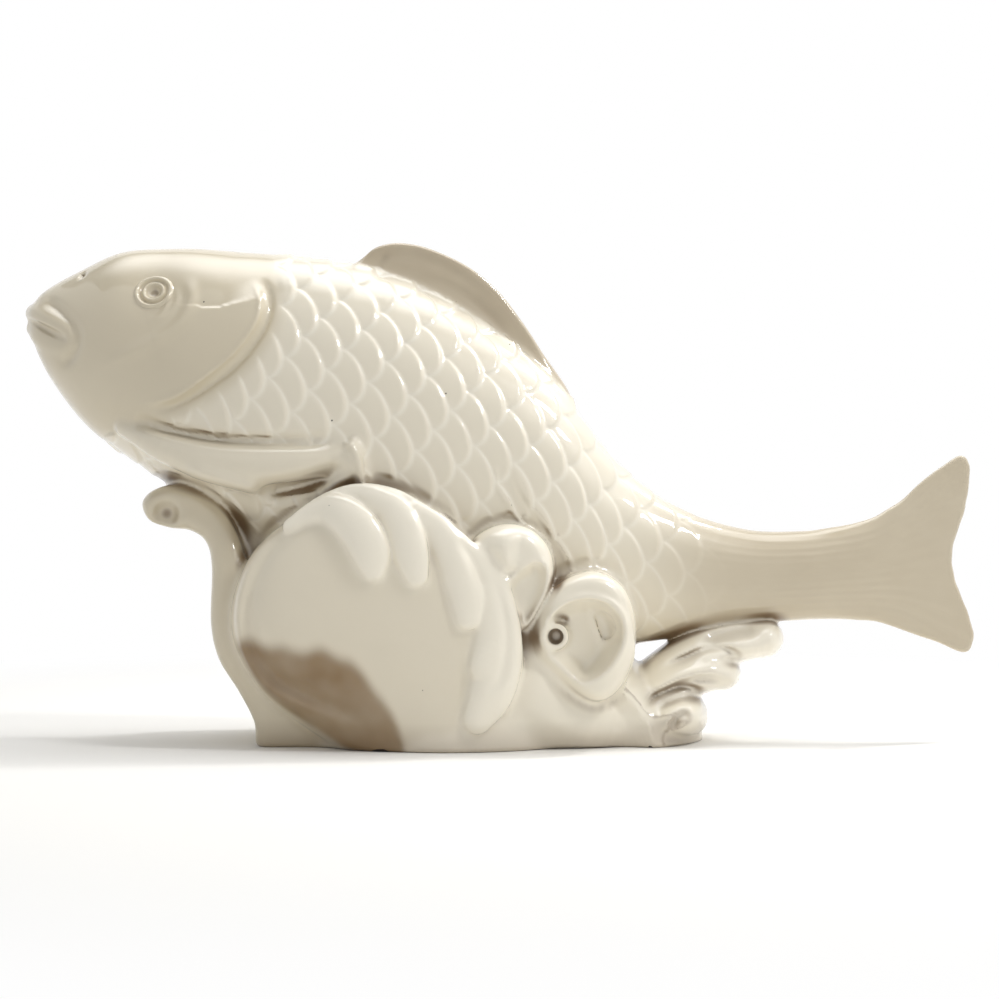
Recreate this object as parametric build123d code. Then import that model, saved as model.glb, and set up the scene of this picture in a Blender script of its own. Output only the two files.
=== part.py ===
from build123d import *

import math
import os

# Glazed figurine of a carp leaping over breaking waves, in slip-cast and
# press-moulded sections that are luted together before the firing.
# X runs along the fish from the lips to the tail, Y across it, Z up.
# The origin is on the table, under the middle of the overall box. Millimetres.
# Places along the fish are shares of its length, and heights are shares of
# its height. Every other size has a value of its own.

# The whole figure
overall_length = 400.0
overall_height = 210.0
cut_overrun = 10.0

# Fish: a hollow casting
flank_breadth = 76.0
fish_wall = 5.0
gill_relief = 1.8
lip_relief = 1.2

# Tail and fins: pressed solid
tail_root_breadth = 22.0
tail_edge_thickness = 4.6
dorsal_thickness = 6.0
dorsal_bevel = 1.6
dorsal_root = 12.0
pectoral_depth = 13.0
pectoral_swell = 9.5

# Eyes: small sprigs
eye_radius = 7.4
eye_ring_width = 2.6
eye_stand = 1.9
eye_root = 9.0

# Base: a hollow casting, closed below but for its vent
base_breadth = 103.0
base_wall = 6.0
vent_radius = 8.0

# Front curl
curl_breadth = 62.0
curl_roll = 3.0
curl_eye_radius = 4.0

# Great waves with their foam
wave_radius = 57.0
wave_seat = 26.0
wave_swell = 29.0
wave_dish = 2.4
foam_half_breadth = 8.2
foam_half_thickness = 6.0
foam_sink = 2.4

# Scrolls on the flanks
large_scroll_reach = 46.0
small_scroll_reach = 47.0
scroll_root = 14.0
scroll_roll = 2.6
scroll_dish = 6.0
scroll_eye_radius = 5.3
scroll_bore_radius = 3.2
scroll_bore_depth = 9.0

# Spray under the tail
spray_upper_breadth = 36.0
spray_middle_breadth = 50.0
spray_lower_breadth = 66.0
spray_thickness = 18.0

# A section of the fish, from its back to its belly, for one flank.
# Each row is a share of the half breadth and a share of the half depth.
flank_shares = [(0.50, 0.84), (0.86, 0.47), (1.0, 0.0), (0.88, -0.50), (0.52, -0.86)]

# Stations from the lips to the tail root. Each row is the back's place along
# and up, the belly's place along and up, and the breadth.
station_shares = [
    (0.002, 0.878, -0.0005, 0.815, 0.16),
    (0.026, 0.909, 0.027, 0.722, 0.36),
    (0.060, 0.943, 0.068, 0.625, 0.56),
    (0.104, 0.980, 0.122, 0.550, 0.74),
    (0.160, 0.988, 0.190, 0.464, 0.87),
    (0.230, 0.979, 0.268, 0.374, 0.97),
    (0.310, 0.965, 0.355, 0.287, 1.00),
    (0.395, 0.925, 0.435, 0.228, 0.98),
    (0.475, 0.845, 0.510, 0.196, 0.90),
    (0.555, 0.722, 0.580, 0.183, 0.77),
    (0.625, 0.555, 0.640, 0.192, 0.58),
    (0.690, 0.465, 0.700, 0.210, 0.44),
    (0.759, 0.423, 0.762, 0.232, 0.34),
]
tail_root_shares = (0.817, 0.419, 0.817, 0.240)

# Places in side view, along and up
wave_centre_shares = (0.376, 0.240)
wave_back_share = 0.25
curl_eye_shares = (0.150, 0.470)
curl_eye_out_share = 0.72
scroll_eye_shares = (0.557, 0.216)
eye_shares = (0.140, 0.920)
eye_facing_shares = (-0.2, -1.0, 0.75)
eye_out_share = 0.57
drain_share = 0.400
drain_top_share = 0.360

# How far the middle of a rolled edge is drawn in, of the whole roll
roll_ease_share = 0.3


def along(share):
    return (share - 0.5) * overall_length


def up(share):
    return share * overall_height


def largest(shape):
    return max(shape.solids(), key=lambda solid: solid.volume)


def mirrored(shape):
    return shape.mirror(Plane.XZ)


def left_half(shape):
    """The side of a shape that faces -Y, cut flat on the mid-plane."""
    size = 2 * overall_length
    return shape & Pos(0, -size / 2, 0) * Box(size, size, size)


def whole(half):
    """A left half joined to its mirror image, as the two halves of a mould join."""
    return largest(half + mirrored(half))


def side_face(points, depth):
    """Closed smooth outline in side view, at one depth."""
    ring = [Vector(x, depth, z) for x, z in points]
    return Face(Wire([Edge.make_spline(ring, periodic=True)]))


def side_slab(points, near, far):
    """An outline in side view, given a breadth from near to far."""
    return extrude(side_face(points, near), amount=far - near, dir=(0, 1, 0))


def placed(shares):
    return [(along(x), up(z)) for x, z in shares]


def inset(points, amount):
    """A closed outline drawn in by one amount all round."""
    turn = sum(a[0] * b[1] - b[0] * a[1] for a, b in zip(points, points[1:] + points[:1]))
    sign = math.copysign(amount, turn)
    drawn = []
    for i, (x, z) in enumerate(points):
        ahead, behind = points[(i + 1) % len(points)], points[i - 1]
        dx, dz = ahead[0] - behind[0], ahead[1] - behind[1]
        run = math.hypot(dx, dz)
        drawn.append((x - dz / run * sign, z + dx / run * sign))
    return drawn


def rolled_slab(points, reach, roll, root=0):
    """A side-view outline, from its root out to its reach, with the outer edge rolled over."""
    ease = roll_ease_share * roll
    layers = [(reach, roll), (reach - ease, ease), (reach - roll, 0), (root, 0)]
    return loft([side_face(inset(points, draw), -out) for out, draw in layers], ruled=True)


def oval(centre, along_axis, half_breadth, half_depth):
    """Elliptical section square to an axis in side view, its breadth across the fish."""
    plane = Plane(origin=centre, x_dir=(0, 1, 0), z_dir=along_axis)
    return Face(Wire([Edge.make_ellipse(half_breadth, half_depth, plane)]))


def tongue(points, sizes):
    """A smooth finger through ovals: half breadth and half thickness at each point."""
    spine = Edge.make_spline(points)
    sections = []
    for i, (half_breadth, half_depth) in enumerate(sizes):
        axis = spine.tangent_at(i / (len(points) - 1))
        axis = Vector(axis.X, 0, axis.Z)
        sections.append(oval(points[i], axis, half_breadth, half_depth))
    return loft(sections)


def fish_section(back, belly, half_breadth, trim=0.0):
    """Section of the fish between two points on its mid-plane."""
    middle, half = (back + belly) * 0.5, (back - belly) * 0.5
    depth = half.length - trim
    rise = half.normalized()
    breadth = half_breadth - trim
    ring = [middle + rise * depth]
    ring += [middle + rise * (d * depth) + Vector(0, b * breadth, 0) for b, d in flank_shares]
    ring += [middle - rise * depth]
    ring += [
        middle + rise * (d * depth) - Vector(0, b * breadth, 0)
        for b, d in reversed(flank_shares)
    ]
    return Face(Wire([Edge.make_spline(ring, periodic=True)]))


def station(row, trim=0.0, grow=0.0):
    back = Vector(along(row[0]), 0, up(row[1]))
    belly = Vector(along(row[2]), 0, up(row[3]))
    return fish_section(back, belly, row[4] * flank_breadth / 2, trim - grow)


def tail_root_section(trim=0.0):
    row = tail_root_shares
    back = Vector(along(row[0]), 0, up(row[1]))
    belly = Vector(along(row[2]), 0, up(row[3]))
    return fish_section(back, belly, tail_root_breadth / 2, trim)


def fish_skin():
    """The outside of the fish as one solid, which every other piece is fitted to."""
    return left_half(loft([station(row) for row in station_shares] + [tail_root_section()]))


def gill_cover():
    """A raised plate on the cheek, its rear edge standing off the scales."""
    grown = loft([station(row, grow=gill_relief) for row in station_shares[:8]])
    edge_shares = [
        (0.176, 0.945),
        (0.214, 0.935),
        (0.246, 0.905),
        (0.256, 0.858),
        (0.247, 0.800),
        (0.222, 0.742),
        (0.184, 0.695),
        (0.142, 0.668),
        (0.104, 0.676),
        (0.132, 0.722),
        (0.162, 0.790),
        (0.178, 0.870),
    ]
    return grown & side_slab(placed(edge_shares), -flank_breadth, 0)


def lips():
    """The swollen rim round the mouth."""
    grown = loft([station(row, grow=lip_relief) for row in station_shares[:4]])
    rim_shares = [
        (-0.020, 0.890),
        (0.010, 0.884),
        (0.036, 0.853),
        (0.056, 0.822),
        (0.060, 0.795),
        (0.051, 0.770),
        (0.030, 0.778),
        (0.008, 0.797),
        (-0.020, 0.805),
    ]
    return grown & side_slab(placed(rim_shares), -flank_breadth, 0)


def mouth():
    """The slit between the lips, open right round the snout."""
    slit_shares = [
        (-0.020, 0.836),
        (0.010, 0.829),
        (0.032, 0.819),
        (0.047, 0.803),
        (0.032, 0.806),
        (0.010, 0.816),
        (-0.020, 0.824),
    ]
    return side_slab(placed(slit_shares), -flank_breadth, 0)


def fish_body(skin, plate):
    inside = loft([station(row, trim=fish_wall) for row in station_shares[2:]])
    shell = skin + plate + lips()
    return whole(shell - inside - mouth()) - drain()


def drain():
    """The hole that lets the slip out of the fish, through the base."""
    top = up(drain_top_share)
    return Pos(along(drain_share), 0, top / 2) * Cylinder(vent_radius, top)


def tail_fin():
    """Caudal fin: a wedge that thins to its edge, cut to the forked outline."""
    edge = tail_edge_thickness / 2
    root = tail_root_breadth / 2
    wedge_shares = [
        (0.848, 0.426, 0.242, 0.80),
        (0.876, 0.436, 0.240, 0.62),
        (0.903, 0.456, 0.234, 0.45),
        (0.935, 0.510, 0.205, 0.25),
        (0.970, 0.590, 0.150, 0.08),
        (1.010, 0.680, 0.090, 0.0),
    ]
    sections = [tail_root_section()]
    for x, back, belly, blend in wedge_shares:
        breadth = edge + (root - edge) * blend
        sections.append(
            fish_section(Vector(along(x), 0, up(back)), Vector(along(x), 0, up(belly)), breadth)
        )
    wedge = loft(sections)
    fork_shares = [
        (0.790, 0.480),
        (0.870, 0.458),
        (0.916, 0.474),
        (0.941, 0.514),
        (0.966, 0.549),
        (0.987, 0.571),
        (0.9965, 0.545),
        (0.991, 0.465),
        (0.978, 0.385),
        (0.980, 0.325),
        (0.994, 0.255),
        (1.000, 0.205),
        (0.990, 0.175),
        (0.955, 0.200),
        (0.905, 0.224),
        (0.860, 0.222),
        (0.790, 0.200),
    ]
    points = [Vector(along(x), -overall_height, up(z)) for x, z in fork_shares]
    rim = Wire([Edge.make_spline(points), Edge.make_line(points[-1], points[0])])
    fork = extrude(Face(rim), amount=2 * overall_height, dir=(0, 1, 0))
    return largest(wedge & fork)


def dorsal_fin():
    """A thick fin along the back, bevelled to its crest."""
    crest_shares = [
        (0.350, 0.945),
        (0.362, 0.978),
        (0.378, 0.994),
        (0.400, 0.997),
        (0.428, 0.985),
        (0.466, 0.951),
        (0.497, 0.904),
        (0.523, 0.842),
        (0.545, 0.778),
        (0.572, 0.690),
    ]
    # The point that the bevel draws the crest towards
    hub_shares = (0.430, 0.800)
    outlines = []
    for y, bevel in ((0, 0), (-dorsal_thickness / 2, dorsal_bevel)):
        hub = Vector(along(hub_shares[0]), y, up(hub_shares[1]))
        crest = []
        for x, z in crest_shares:
            place = Vector(along(x), y, up(z))
            crest.append(place + (hub - place).normalized() * bevel)
        root = [crest[-1] - Vector(0, 0, dorsal_root), crest[0] - Vector(0, 0, dorsal_root)]
        corners = [crest[-1]] + root + [crest[0]]
        straight = [Edge.make_line(a, b) for a, b in zip(corners, corners[1:])]
        outlines.append(Face(Wire([Edge.make_spline(crest)] + straight)))
    return loft(outlines, ruled=True)


def pectoral_fin():
    """The left fin, folded back along the flank under the gill cover."""
    fin_shares = [
        (0.112, 0.622, 0.52, 0.30, 0.40),
        (0.160, 0.594, 0.68, 0.62, 0.75),
        (0.220, 0.562, 0.81, 0.88, 0.95),
        (0.290, 0.544, 0.89, 0.92, 1.00),
        (0.345, 0.537, 0.92, 0.92, 0.95),
        (0.364, 0.535, 0.92, 0.60, 0.60),
    ]
    points = [
        Vector(along(x), -out * flank_breadth / 2, up(z)) for x, z, out, depth, swell in fin_shares
    ]
    sizes = [(row[4] * pectoral_swell, row[3] * pectoral_depth) for row in fin_shares]
    return tongue(points, sizes)


def eye():
    """Left eye: a ring round a hollow pupil, on a root that beds into the head."""
    out = eye_out_share * flank_breadth / 2
    corners = [
        (0, -eye_root),
        (eye_radius, -eye_root),
        (eye_radius, 0),
        (eye_radius - eye_ring_width / 2, eye_stand),
        (eye_radius - eye_ring_width, eye_stand / 3),
        (0, eye_stand / 2),
    ]
    profile = Wire.make_polygon([Vector(r, 0, z) for r, z in corners])
    sprig = revolve(Face(profile), Axis.Z, 360)
    x, z = placed([eye_shares])[0]
    seat = Plane(origin=(x, -out, z), x_dir=(1, 0, 0), z_dir=eye_facing_shares)
    return seat * sprig


def foot_plan(length_share, breadth_share, middle_share):
    """Half lengths and breadths of the base's plan at one level."""
    half_shares = [
        (-0.231, 0.0),
        (-0.218, 0.24),
        (-0.180, 0.50),
        (-0.123, 0.80),
        (-0.060, 1.0),
        (-0.010, 1.0),
        (0.040, 0.88),
        (0.080, 0.66),
        (0.115, 0.50),
        (0.150, 0.56),
        (0.182, 0.64),
        (0.215, 0.40),
        (0.236, 0.0),
    ]
    near = [
        (along(middle_share + x * length_share), -y * breadth_share * base_breadth / 2)
        for x, y in half_shares
    ]
    return near + [(x, -y) for x, y in near[-2:0:-1]]


def level(points, z):
    """A closed smooth outline in plan, at one height."""
    ring = [Vector(x, y, z) for x, y in points]
    return Face(Wire([Edge.make_spline(ring, periodic=True)]))


# Levels of the base: height, then length, breadth and middle
base_level_shares = [
    (0.0, 1.0, 1.0, 0.480),
    (0.05, 0.965, 0.97, 0.476),
    (0.12, 0.87, 0.92, 0.465),
    (0.22, 0.71, 0.84, 0.440),
    (0.36, 0.62, 0.70, 0.405),
    (0.50, 0.42, 0.48, 0.345),
]


def base_skin():
    """The outside of the base, rising under the fish's throat and belly."""
    levels = [level(foot_plan(l, b, m), up(z)) for z, l, b, m in base_level_shares]
    return left_half(loft(levels))


def wave_base(core, skin):
    """Hollow plinth, with a vent through its floor."""
    hollow = loft(
        [
            level(inset(foot_plan(l, b, m), base_wall), max(up(z), base_wall))
            for z, l, b, m in base_level_shares[:5]
        ]
    )
    return whole(core - skin - hollow) - drain()


def front_curl():
    """The wave that breaks forward under the throat, its crest rolled over."""
    curl_shares = [
        (0.252, -0.020),
        (0.240, 0.060),
        (0.212, 0.140),
        (0.197, 0.240),
        (0.197, 0.350),
        (0.190, 0.402),
        (0.166, 0.420),
        (0.140, 0.432),
        (0.123, 0.464),
        (0.130, 0.503),
        (0.155, 0.522),
        (0.190, 0.508),
        (0.222, 0.460),
        (0.258, 0.390),
        (0.270, 0.280),
        (0.285, 0.160),
        (0.310, 0.060),
        (0.330, -0.020),
    ]
    half = curl_breadth / 2
    band = rolled_slab(placed(curl_shares), half, curl_roll)
    front_shares = [
        (0, -0.1),
        (0.8, -0.1),
        (1.1, 0.18),
        (0.95, 0.36),
        (0.72, 0.47),
        (0.40, 0.54),
        (0, 0.56),
    ]
    near = [(-y * half, up(z)) for y, z in front_shares]
    rim = near + [(-y, z) for y, z in near[-2:0:-1]]
    ring = [Vector(along(0), y, z) for y, z in rim]
    front = Face(Wire([Edge.make_spline(ring, periodic=True)]))
    curl = band & extrude(front, amount=overall_length, dir=(1, 0, 0))
    x, z = placed([curl_eye_shares])[0]
    return curl - Pos(x, -half * curl_eye_out_share, z) * Sphere(curl_eye_radius)


def wave_depth(x, z):
    """How far out the great wave's surface stands, at a place in side view."""
    cx, cz = placed([wave_centre_shares])[0]
    away = min(1.0, math.hypot(x - cx, z - cz) / wave_radius)
    return wave_seat + wave_swell * math.sqrt(1 - away**4)


def great_wave_skin():
    """The left swell: a rolled rim round a dished face."""
    cx, cz = placed([wave_centre_shares])[0]
    # Reach of the rim at equal steps of turn, from the tail side over the top
    rim_shares = (0.99, 0.90, 0.92, 0.98, 0.96, 1.03, 1.05, 0.96, 0.90, 1.05, 1.40, 1.12)
    # Size of each section, how far the swell has risen there and how deep its dish is
    rise_shares = [
        (1.0, 0.0, 0.0),
        (0.98, 0.40, 0.0),
        (0.93, 0.62, 0.0),
        (0.86, 0.75, 0.2),
        (0.81, 0.82, 1.0),
        (0.66, 0.93, 1.0),
        (0.40, 0.99, 0.4),
        (0.15, 1.0, 0.0),
    ]
    layers = [(1.0, wave_seat * wave_back_share)]
    layers += [(size, wave_seat + rise * wave_swell - dish * wave_dish) for size, rise, dish in rise_shares]
    sections = []
    for size, depth in layers:
        points = []
        for i, reach in enumerate(rim_shares):
            turn = 2 * math.pi * i / len(rim_shares)
            radius = size * reach * wave_radius
            points.append((cx + radius * math.cos(turn), cz + radius * math.sin(turn)))
        sections.append(side_face(points, -depth))
    return loft(sections, ruled=True)


def foam_crest():
    """Fingers of foam that hang from the wave's rim, joined into one strip."""
    finger_shares = [
        ((0.318, 0.470), (0.356, 0.425), (0.373, 0.338)),
        ((0.376, 0.490), (0.404, 0.420), (0.418, 0.325)),
        ((0.418, 0.462), (0.450, 0.365), (0.472, 0.242)),
        ((0.458, 0.408), (0.490, 0.290), (0.494, 0.150)),
    ]
    taper_shares = (0.80, 1.0, 0.50)
    sizes = [(size * foam_half_thickness, size * foam_half_breadth) for size in taper_shares]
    strip = None
    for row in finger_shares:
        points = [Vector(x, foam_sink - wave_depth(x, z), z) for x, z in placed(row)]
        finger = tongue(points, sizes)
        strip = finger if strip is None else strip + finger
    return strip


def scroll(rim_shares, dish_shares, reach, roll):
    """A rolled crest on the left flank, dished inside its band."""
    slab = rolled_slab(placed(rim_shares), reach, roll, scroll_root)
    dish = side_slab(placed(dish_shares), -reach - cut_overrun, -reach + scroll_dish)
    return slab - dish


def large_scroll():
    """The larger crest, whose band winds in to a hollow eye."""
    rim_shares = [
        (0.577, 0.112),
        (0.606, 0.128),
        (0.632, 0.172),
        (0.639, 0.226),
        (0.633, 0.286),
        (0.614, 0.332),
        (0.590, 0.347),
        (0.566, 0.336),
        (0.547, 0.292),
        (0.533, 0.225),
        (0.537, 0.180),
        (0.552, 0.140),
    ]
    dish_shares = [
        (0.547, 0.246),
        (0.562, 0.279),
        (0.584, 0.293),
        (0.605, 0.286),
        (0.620, 0.260),
        (0.625, 0.224),
        (0.617, 0.184),
        (0.602, 0.148),
        (0.583, 0.134),
        (0.562, 0.162),
        (0.547, 0.196),
    ]
    crest = scroll(rim_shares, dish_shares, large_scroll_reach, scroll_roll)
    x, z = placed([scroll_eye_shares])[0]
    face = Plane(origin=(x, -large_scroll_reach, z), z_dir=(0, 1, 0))
    eye_roll = Solid.make_cylinder(scroll_eye_radius, large_scroll_reach - scroll_root, face)
    bore = Solid.make_cylinder(scroll_bore_radius, scroll_bore_depth, face)
    return crest + eye_roll - bore


def small_scroll():
    """The smaller crest, tucked behind the foam."""
    rim_shares = [
        (0.474, 0.405),
        (0.505, 0.434),
        (0.532, 0.425),
        (0.550, 0.390),
        (0.555, 0.344),
        (0.547, 0.292),
        (0.524, 0.234),
        (0.505, 0.253),
        (0.492, 0.317),
        (0.478, 0.360),
    ]
    dish_shares = [
        (0.513, 0.336),
        (0.529, 0.357),
        (0.543, 0.358),
        (0.546, 0.326),
        (0.538, 0.278),
        (0.524, 0.252),
        (0.513, 0.288),
    ]
    return scroll(rim_shares, dish_shares, small_scroll_reach, scroll_roll)


def fitted(shape, others):
    """A piece with its neighbours' room taken out of it."""
    for other in others:
        shape = shape - other
    return largest(shape)


def spray(path_shares, breadth):
    """One tongue of spray: place, then thickness and breadth as shares of their full size."""
    points = [Vector(along(x), 0, up(z)) for x, z, thick, broad in path_shares]
    sizes = [
        (broad * breadth / 2, thick * spray_thickness / 2) for x, z, thick, broad in path_shares
    ]
    return left_half(tongue(points, sizes))


def spray_tongues(skin, core):
    """Three tongues, each in front of the one above it."""
    upper_shares = [
        (0.600, 0.030, 1.0, 1.0),
        (0.652, 0.108, 1.0, 1.0),
        (0.700, 0.176, 0.95, 1.0),
        (0.752, 0.206, 0.88, 0.88),
        (0.798, 0.214, 0.45, 0.45),
    ]
    middle_shares = [
        (0.590, 0.000, 1.1, 1.0),
        (0.645, 0.072, 1.1, 1.0),
        (0.690, 0.126, 1.05, 0.96),
        (0.728, 0.142, 0.95, 0.80),
        (0.757, 0.138, 0.50, 0.42),
    ]
    lower_shares = [
        (0.590, 0.010, 0.90, 0.50),
        (0.645, 0.034, 1.15, 0.82),
        (0.690, 0.052, 1.20, 0.90),
        (0.714, 0.046, 0.85, 0.60),
    ]
    lower = fitted(spray(lower_shares, spray_lower_breadth), [table(), core])
    middle = fitted(spray(middle_shares, spray_middle_breadth), [table(), core, lower])
    upper = fitted(spray(upper_shares, spray_upper_breadth), [skin, core, middle])
    return {"spray_upper": upper, "spray_middle": middle, "spray_lower": lower}


def table():
    """Everything below the foot."""
    return Pos(0, 0, -overall_height / 2) * Box(overall_length, overall_length, overall_height)


def build():
    """Each piece is shaped on the left half, then mirrored."""
    skin, core = fish_skin(), base_skin()
    plate, swell = gill_cover(), great_wave_skin()
    parts = {
        "fish_body": fish_body(skin, plate),
        "tail_fin": tail_fin(),
        "dorsal_fin": whole(fitted(dorsal_fin(), [skin])),
        "wave_base": wave_base(core, skin),
        "front_curl": whole(fitted(front_curl(), [table(), skin, core, swell])),
    }
    tongues = spray_tongues(skin, core)
    parts.update({name: whole(half) for name, half in tongues.items()})
    fin = pectoral_fin()
    left = {
        "eye": fitted(eye(), [skin]),
        "pectoral_fin": fitted(fin, [skin, plate]),
        "great_wave": fitted(swell, [table(), skin, core, fin]),
        "foam_crest": fitted(foam_crest(), [swell, skin, core, fin]),
    }
    around = [skin, core, swell, left["foam_crest"]]
    left["large_scroll"] = fitted(large_scroll(), around)
    left["small_scroll"] = fitted(small_scroll(), around + [left["large_scroll"]])
    for name, shape in left.items():
        parts[f"left_{name}"] = shape
        parts[f"right_{name}"] = mirrored(shape)
    return parts


parts = build()
os.makedirs("parts", exist_ok=True)
for name, shape in parts.items():
    export_step(shape, f"parts/{name}.step")
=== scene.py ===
import math

import bpy
import numpy as np
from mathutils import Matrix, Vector


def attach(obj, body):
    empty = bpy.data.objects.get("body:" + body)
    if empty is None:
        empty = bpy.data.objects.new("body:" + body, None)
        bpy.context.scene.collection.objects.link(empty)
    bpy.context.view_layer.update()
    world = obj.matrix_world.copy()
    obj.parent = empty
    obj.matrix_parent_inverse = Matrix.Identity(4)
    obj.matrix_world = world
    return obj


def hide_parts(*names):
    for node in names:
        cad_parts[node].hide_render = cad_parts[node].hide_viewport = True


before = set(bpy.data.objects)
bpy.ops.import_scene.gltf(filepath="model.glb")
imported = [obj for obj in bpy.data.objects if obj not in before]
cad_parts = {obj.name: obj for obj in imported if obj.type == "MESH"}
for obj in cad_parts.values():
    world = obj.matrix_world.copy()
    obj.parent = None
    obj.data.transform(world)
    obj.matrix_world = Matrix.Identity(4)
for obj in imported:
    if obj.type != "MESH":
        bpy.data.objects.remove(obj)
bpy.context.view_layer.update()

# The figurine is sculpted in millimetres as one field of distances to its skin, so that
# the glaze fills every join. The skin is then cut into the pieces of the frame again.
# Places in side view are shares of the length and height.
figure = {"length": 400.0, "height": 210.0}
sculpt = {
    "step": 0.85,
    "reach": 10.0,  # the field is exact this far from the skin
    "room": 4.0,  # round the figure
    "deepest": 60.0,  # from the mid-plane outwards
    "rounds": 4, "evenShare": 0.6, "leastSquare": 0.04,  # for evening out the net on the skin
}
soloPieces = ["fish_body", "tail_fin", "dorsal_fin", "wave_base", "front_curl"]
soloPieces += ["spray_upper", "spray_middle", "spray_lower"]
pairedPieces = ["pectoral_fin", "great_wave", "foam_crest", "large_scroll", "small_scroll"]
pieceOrder = soloPieces + pairedPieces


def along(share):
    return (share - 0.5) * figure["length"]


def up(share):
    return share * figure["height"]


def sidePoints(shares):
    return [(along(x), up(z)) for x, z in shares]


def tubeRows(shares):
    return [(along(x), out, up(z), radius) for x, out, z, radius in shares]


def smoothstep(value):
    value = np.clip(value, 0, 1)
    return value * value * (3 - 2 * value)


def ramp(value, start, end):
    return smoothstep((value - start) / (end - start))


def smoothLine(points, parts, closed=False):
    # A rounded line through rows of any width
    rows = np.array(points, float)
    if closed:
        ends = np.vstack([rows[-1:], rows, rows[:2]])
    else:
        ends = np.vstack([2 * rows[0] - rows[1], rows, 2 * rows[-1] - rows[-2]])
    a, b, c, d = (ends[i:len(ends) - 3 + i, None, :] for i in range(4))
    t = np.linspace(0, 1, parts, endpoint=False)[None, :, None]
    curve = b + 0.5 * t * (c - a + t * (2 * a - 5 * b + 4 * c - d + t * (3 * b - 3 * c + d - a)))
    curve = curve.reshape(-1, rows.shape[1])
    return curve if closed else np.vstack([curve, rows[-1:]])


# Only the left half is sculpted: along the fish, out from its mid-plane, and up
step = sculpt["step"]
xs = np.arange(-figure["length"] / 2 - sculpt["room"], figure["length"] / 2 + sculpt["room"], step)
outs = np.arange(0, sculpt["deepest"], step)
zs = np.arange(-sculpt["room"], figure["height"] + sculpt["room"], step)
field = np.full((len(xs), len(outs), len(zs)), sculpt["reach"], np.float32)
owner = np.zeros(field.shape, np.int8)


def window(box):
    spans = [
        slice(np.searchsorted(axis, ends[0]), np.searchsorted(axis, ends[1]))
        for axis, ends in zip((xs, outs, zs), box)
    ]
    x = xs[spans[0]][:, None, None]
    out = outs[spans[1]][None, :, None]
    z = zs[spans[2]][None, None, :]
    return tuple(spans), x, out, z


def joined(a, b, fillet):
    overlap = np.maximum(fillet - np.abs(a - b), 0)
    return np.minimum(a, b) - overlap * overlap / (4 * fillet)


def shared(a, b, fillet):
    return -joined(-a, -b, fillet)


def rounded(a, b, radius):
    # What two shapes share, with their common edge rounded
    a, b = a + radius, b + radius
    return np.minimum(np.maximum(a, b), 0) + np.hypot(np.maximum(a, 0), np.maximum(b, 0)) - radius


def addClay(piece, shape, box, fillet):
    here, x, out, z = window(box)
    clay = shape(x, out, z)
    owner[here] = np.where(clay < field[here], pieceOrder.index(piece), owner[here])
    field[here] = joined(field[here], clay, fillet)


def cutClay(shape, box, fillet):
    here, x, out, z = window(box)
    field[here] = shared(field[here], -shape(x, out, z), fillet)


def sample(grid, places):
    # Value of a grid between its points; places are in steps from its corner
    places = np.clip(places, 0, np.array(grid.shape) - 1.001)
    low = places.astype(int)
    part = places - low
    total = 0
    for dx in (0, 1):
        for dy in (0, 1):
            for dz in (0, 1):
                weight = 1
                for axis, d in enumerate((dx, dy, dz)):
                    weight = weight * (part[:, axis] if d else 1 - part[:, axis])
                total = total + weight * grid[low[:, 0] + dx, low[:, 1] + dy, low[:, 2] + dz]
    return total


def outlineDistance(points, x, z):
    # Distance to a closed outline in side view, less than 0 inside it
    x, z = np.broadcast_arrays(x, z)
    nearest = np.full(x.shape, np.inf)
    inside = np.zeros(x.shape, bool)
    for (ax, az), (bx, bz) in zip(points, np.roll(points, -1, axis=0)):
        dx, dz = bx - ax, bz - az
        t = np.clip(((x - ax) * dx + (z - az) * dz) / (dx * dx + dz * dz + 1e-9), 0, 1)
        nearest = np.minimum(nearest, (x - ax - t * dx) ** 2 + (z - az - t * dz) ** 2)
        if az != bz:
            inside ^= ((az > z) != (bz > z)) & (x < (bx - ax) * (z - az) / (bz - az) + ax)
    return np.where(inside, -1, 1) * np.sqrt(nearest)


def sideWall(outline, x, z):
    # Distance to the wall that stands on an outline in side view
    return outlineDistance(outline, x[:, :, 0], z[0, :, :])[:, None, :]


def strokeDistance(points, x, z):
    # Distance to an open line, more than 0 on its left, and how far along the line
    x, z = np.broadcast_arrays(x, z)
    nearest = np.full(x.shape, np.inf)
    side = np.ones(x.shape)
    place = np.zeros(x.shape)
    for i, ((ax, az), (bx, bz)) in enumerate(zip(points[:-1], points[1:])):
        dx, dz = bx - ax, bz - az
        t = np.clip(((x - ax) * dx + (z - az) * dz) / (dx * dx + dz * dz + 1e-9), 0, 1)
        gap = (x - ax - t * dx) ** 2 + (z - az - t * dz) ** 2
        nearer = gap < nearest
        nearest = np.where(nearer, gap, nearest)
        side = np.where(nearer, np.sign(dx * (z - az) - dz * (x - ax)), side)
        place = np.where(nearer, (i + t) / (len(points) - 1), place)
    return side * np.sqrt(nearest), place


def strokeRelief(strokes, x, z):
    # Raised and sunk lines: each has a width, a height and the shares that taper at its ends
    relief = np.zeros(np.broadcast(x, z).shape)
    for shares, width, height, taper in strokes:
        line = smoothLine(sidePoints(shares), 6)
        away, place = strokeDistance(line, x, z)
        fade = smoothstep(place / taper) * smoothstep((1 - place) / taper)
        relief += height * fade * np.exp(-(away / width) ** 2)
    return relief


def carve(strokes, box):
    # Raises and sinks lines on the clay that faces outwards in a box
    here, x, out, z = window(box)
    field[here] -= strokeRelief(strokes, x[:, :, 0], z[0, :, :])[:, None, :].astype(np.float32)


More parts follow.
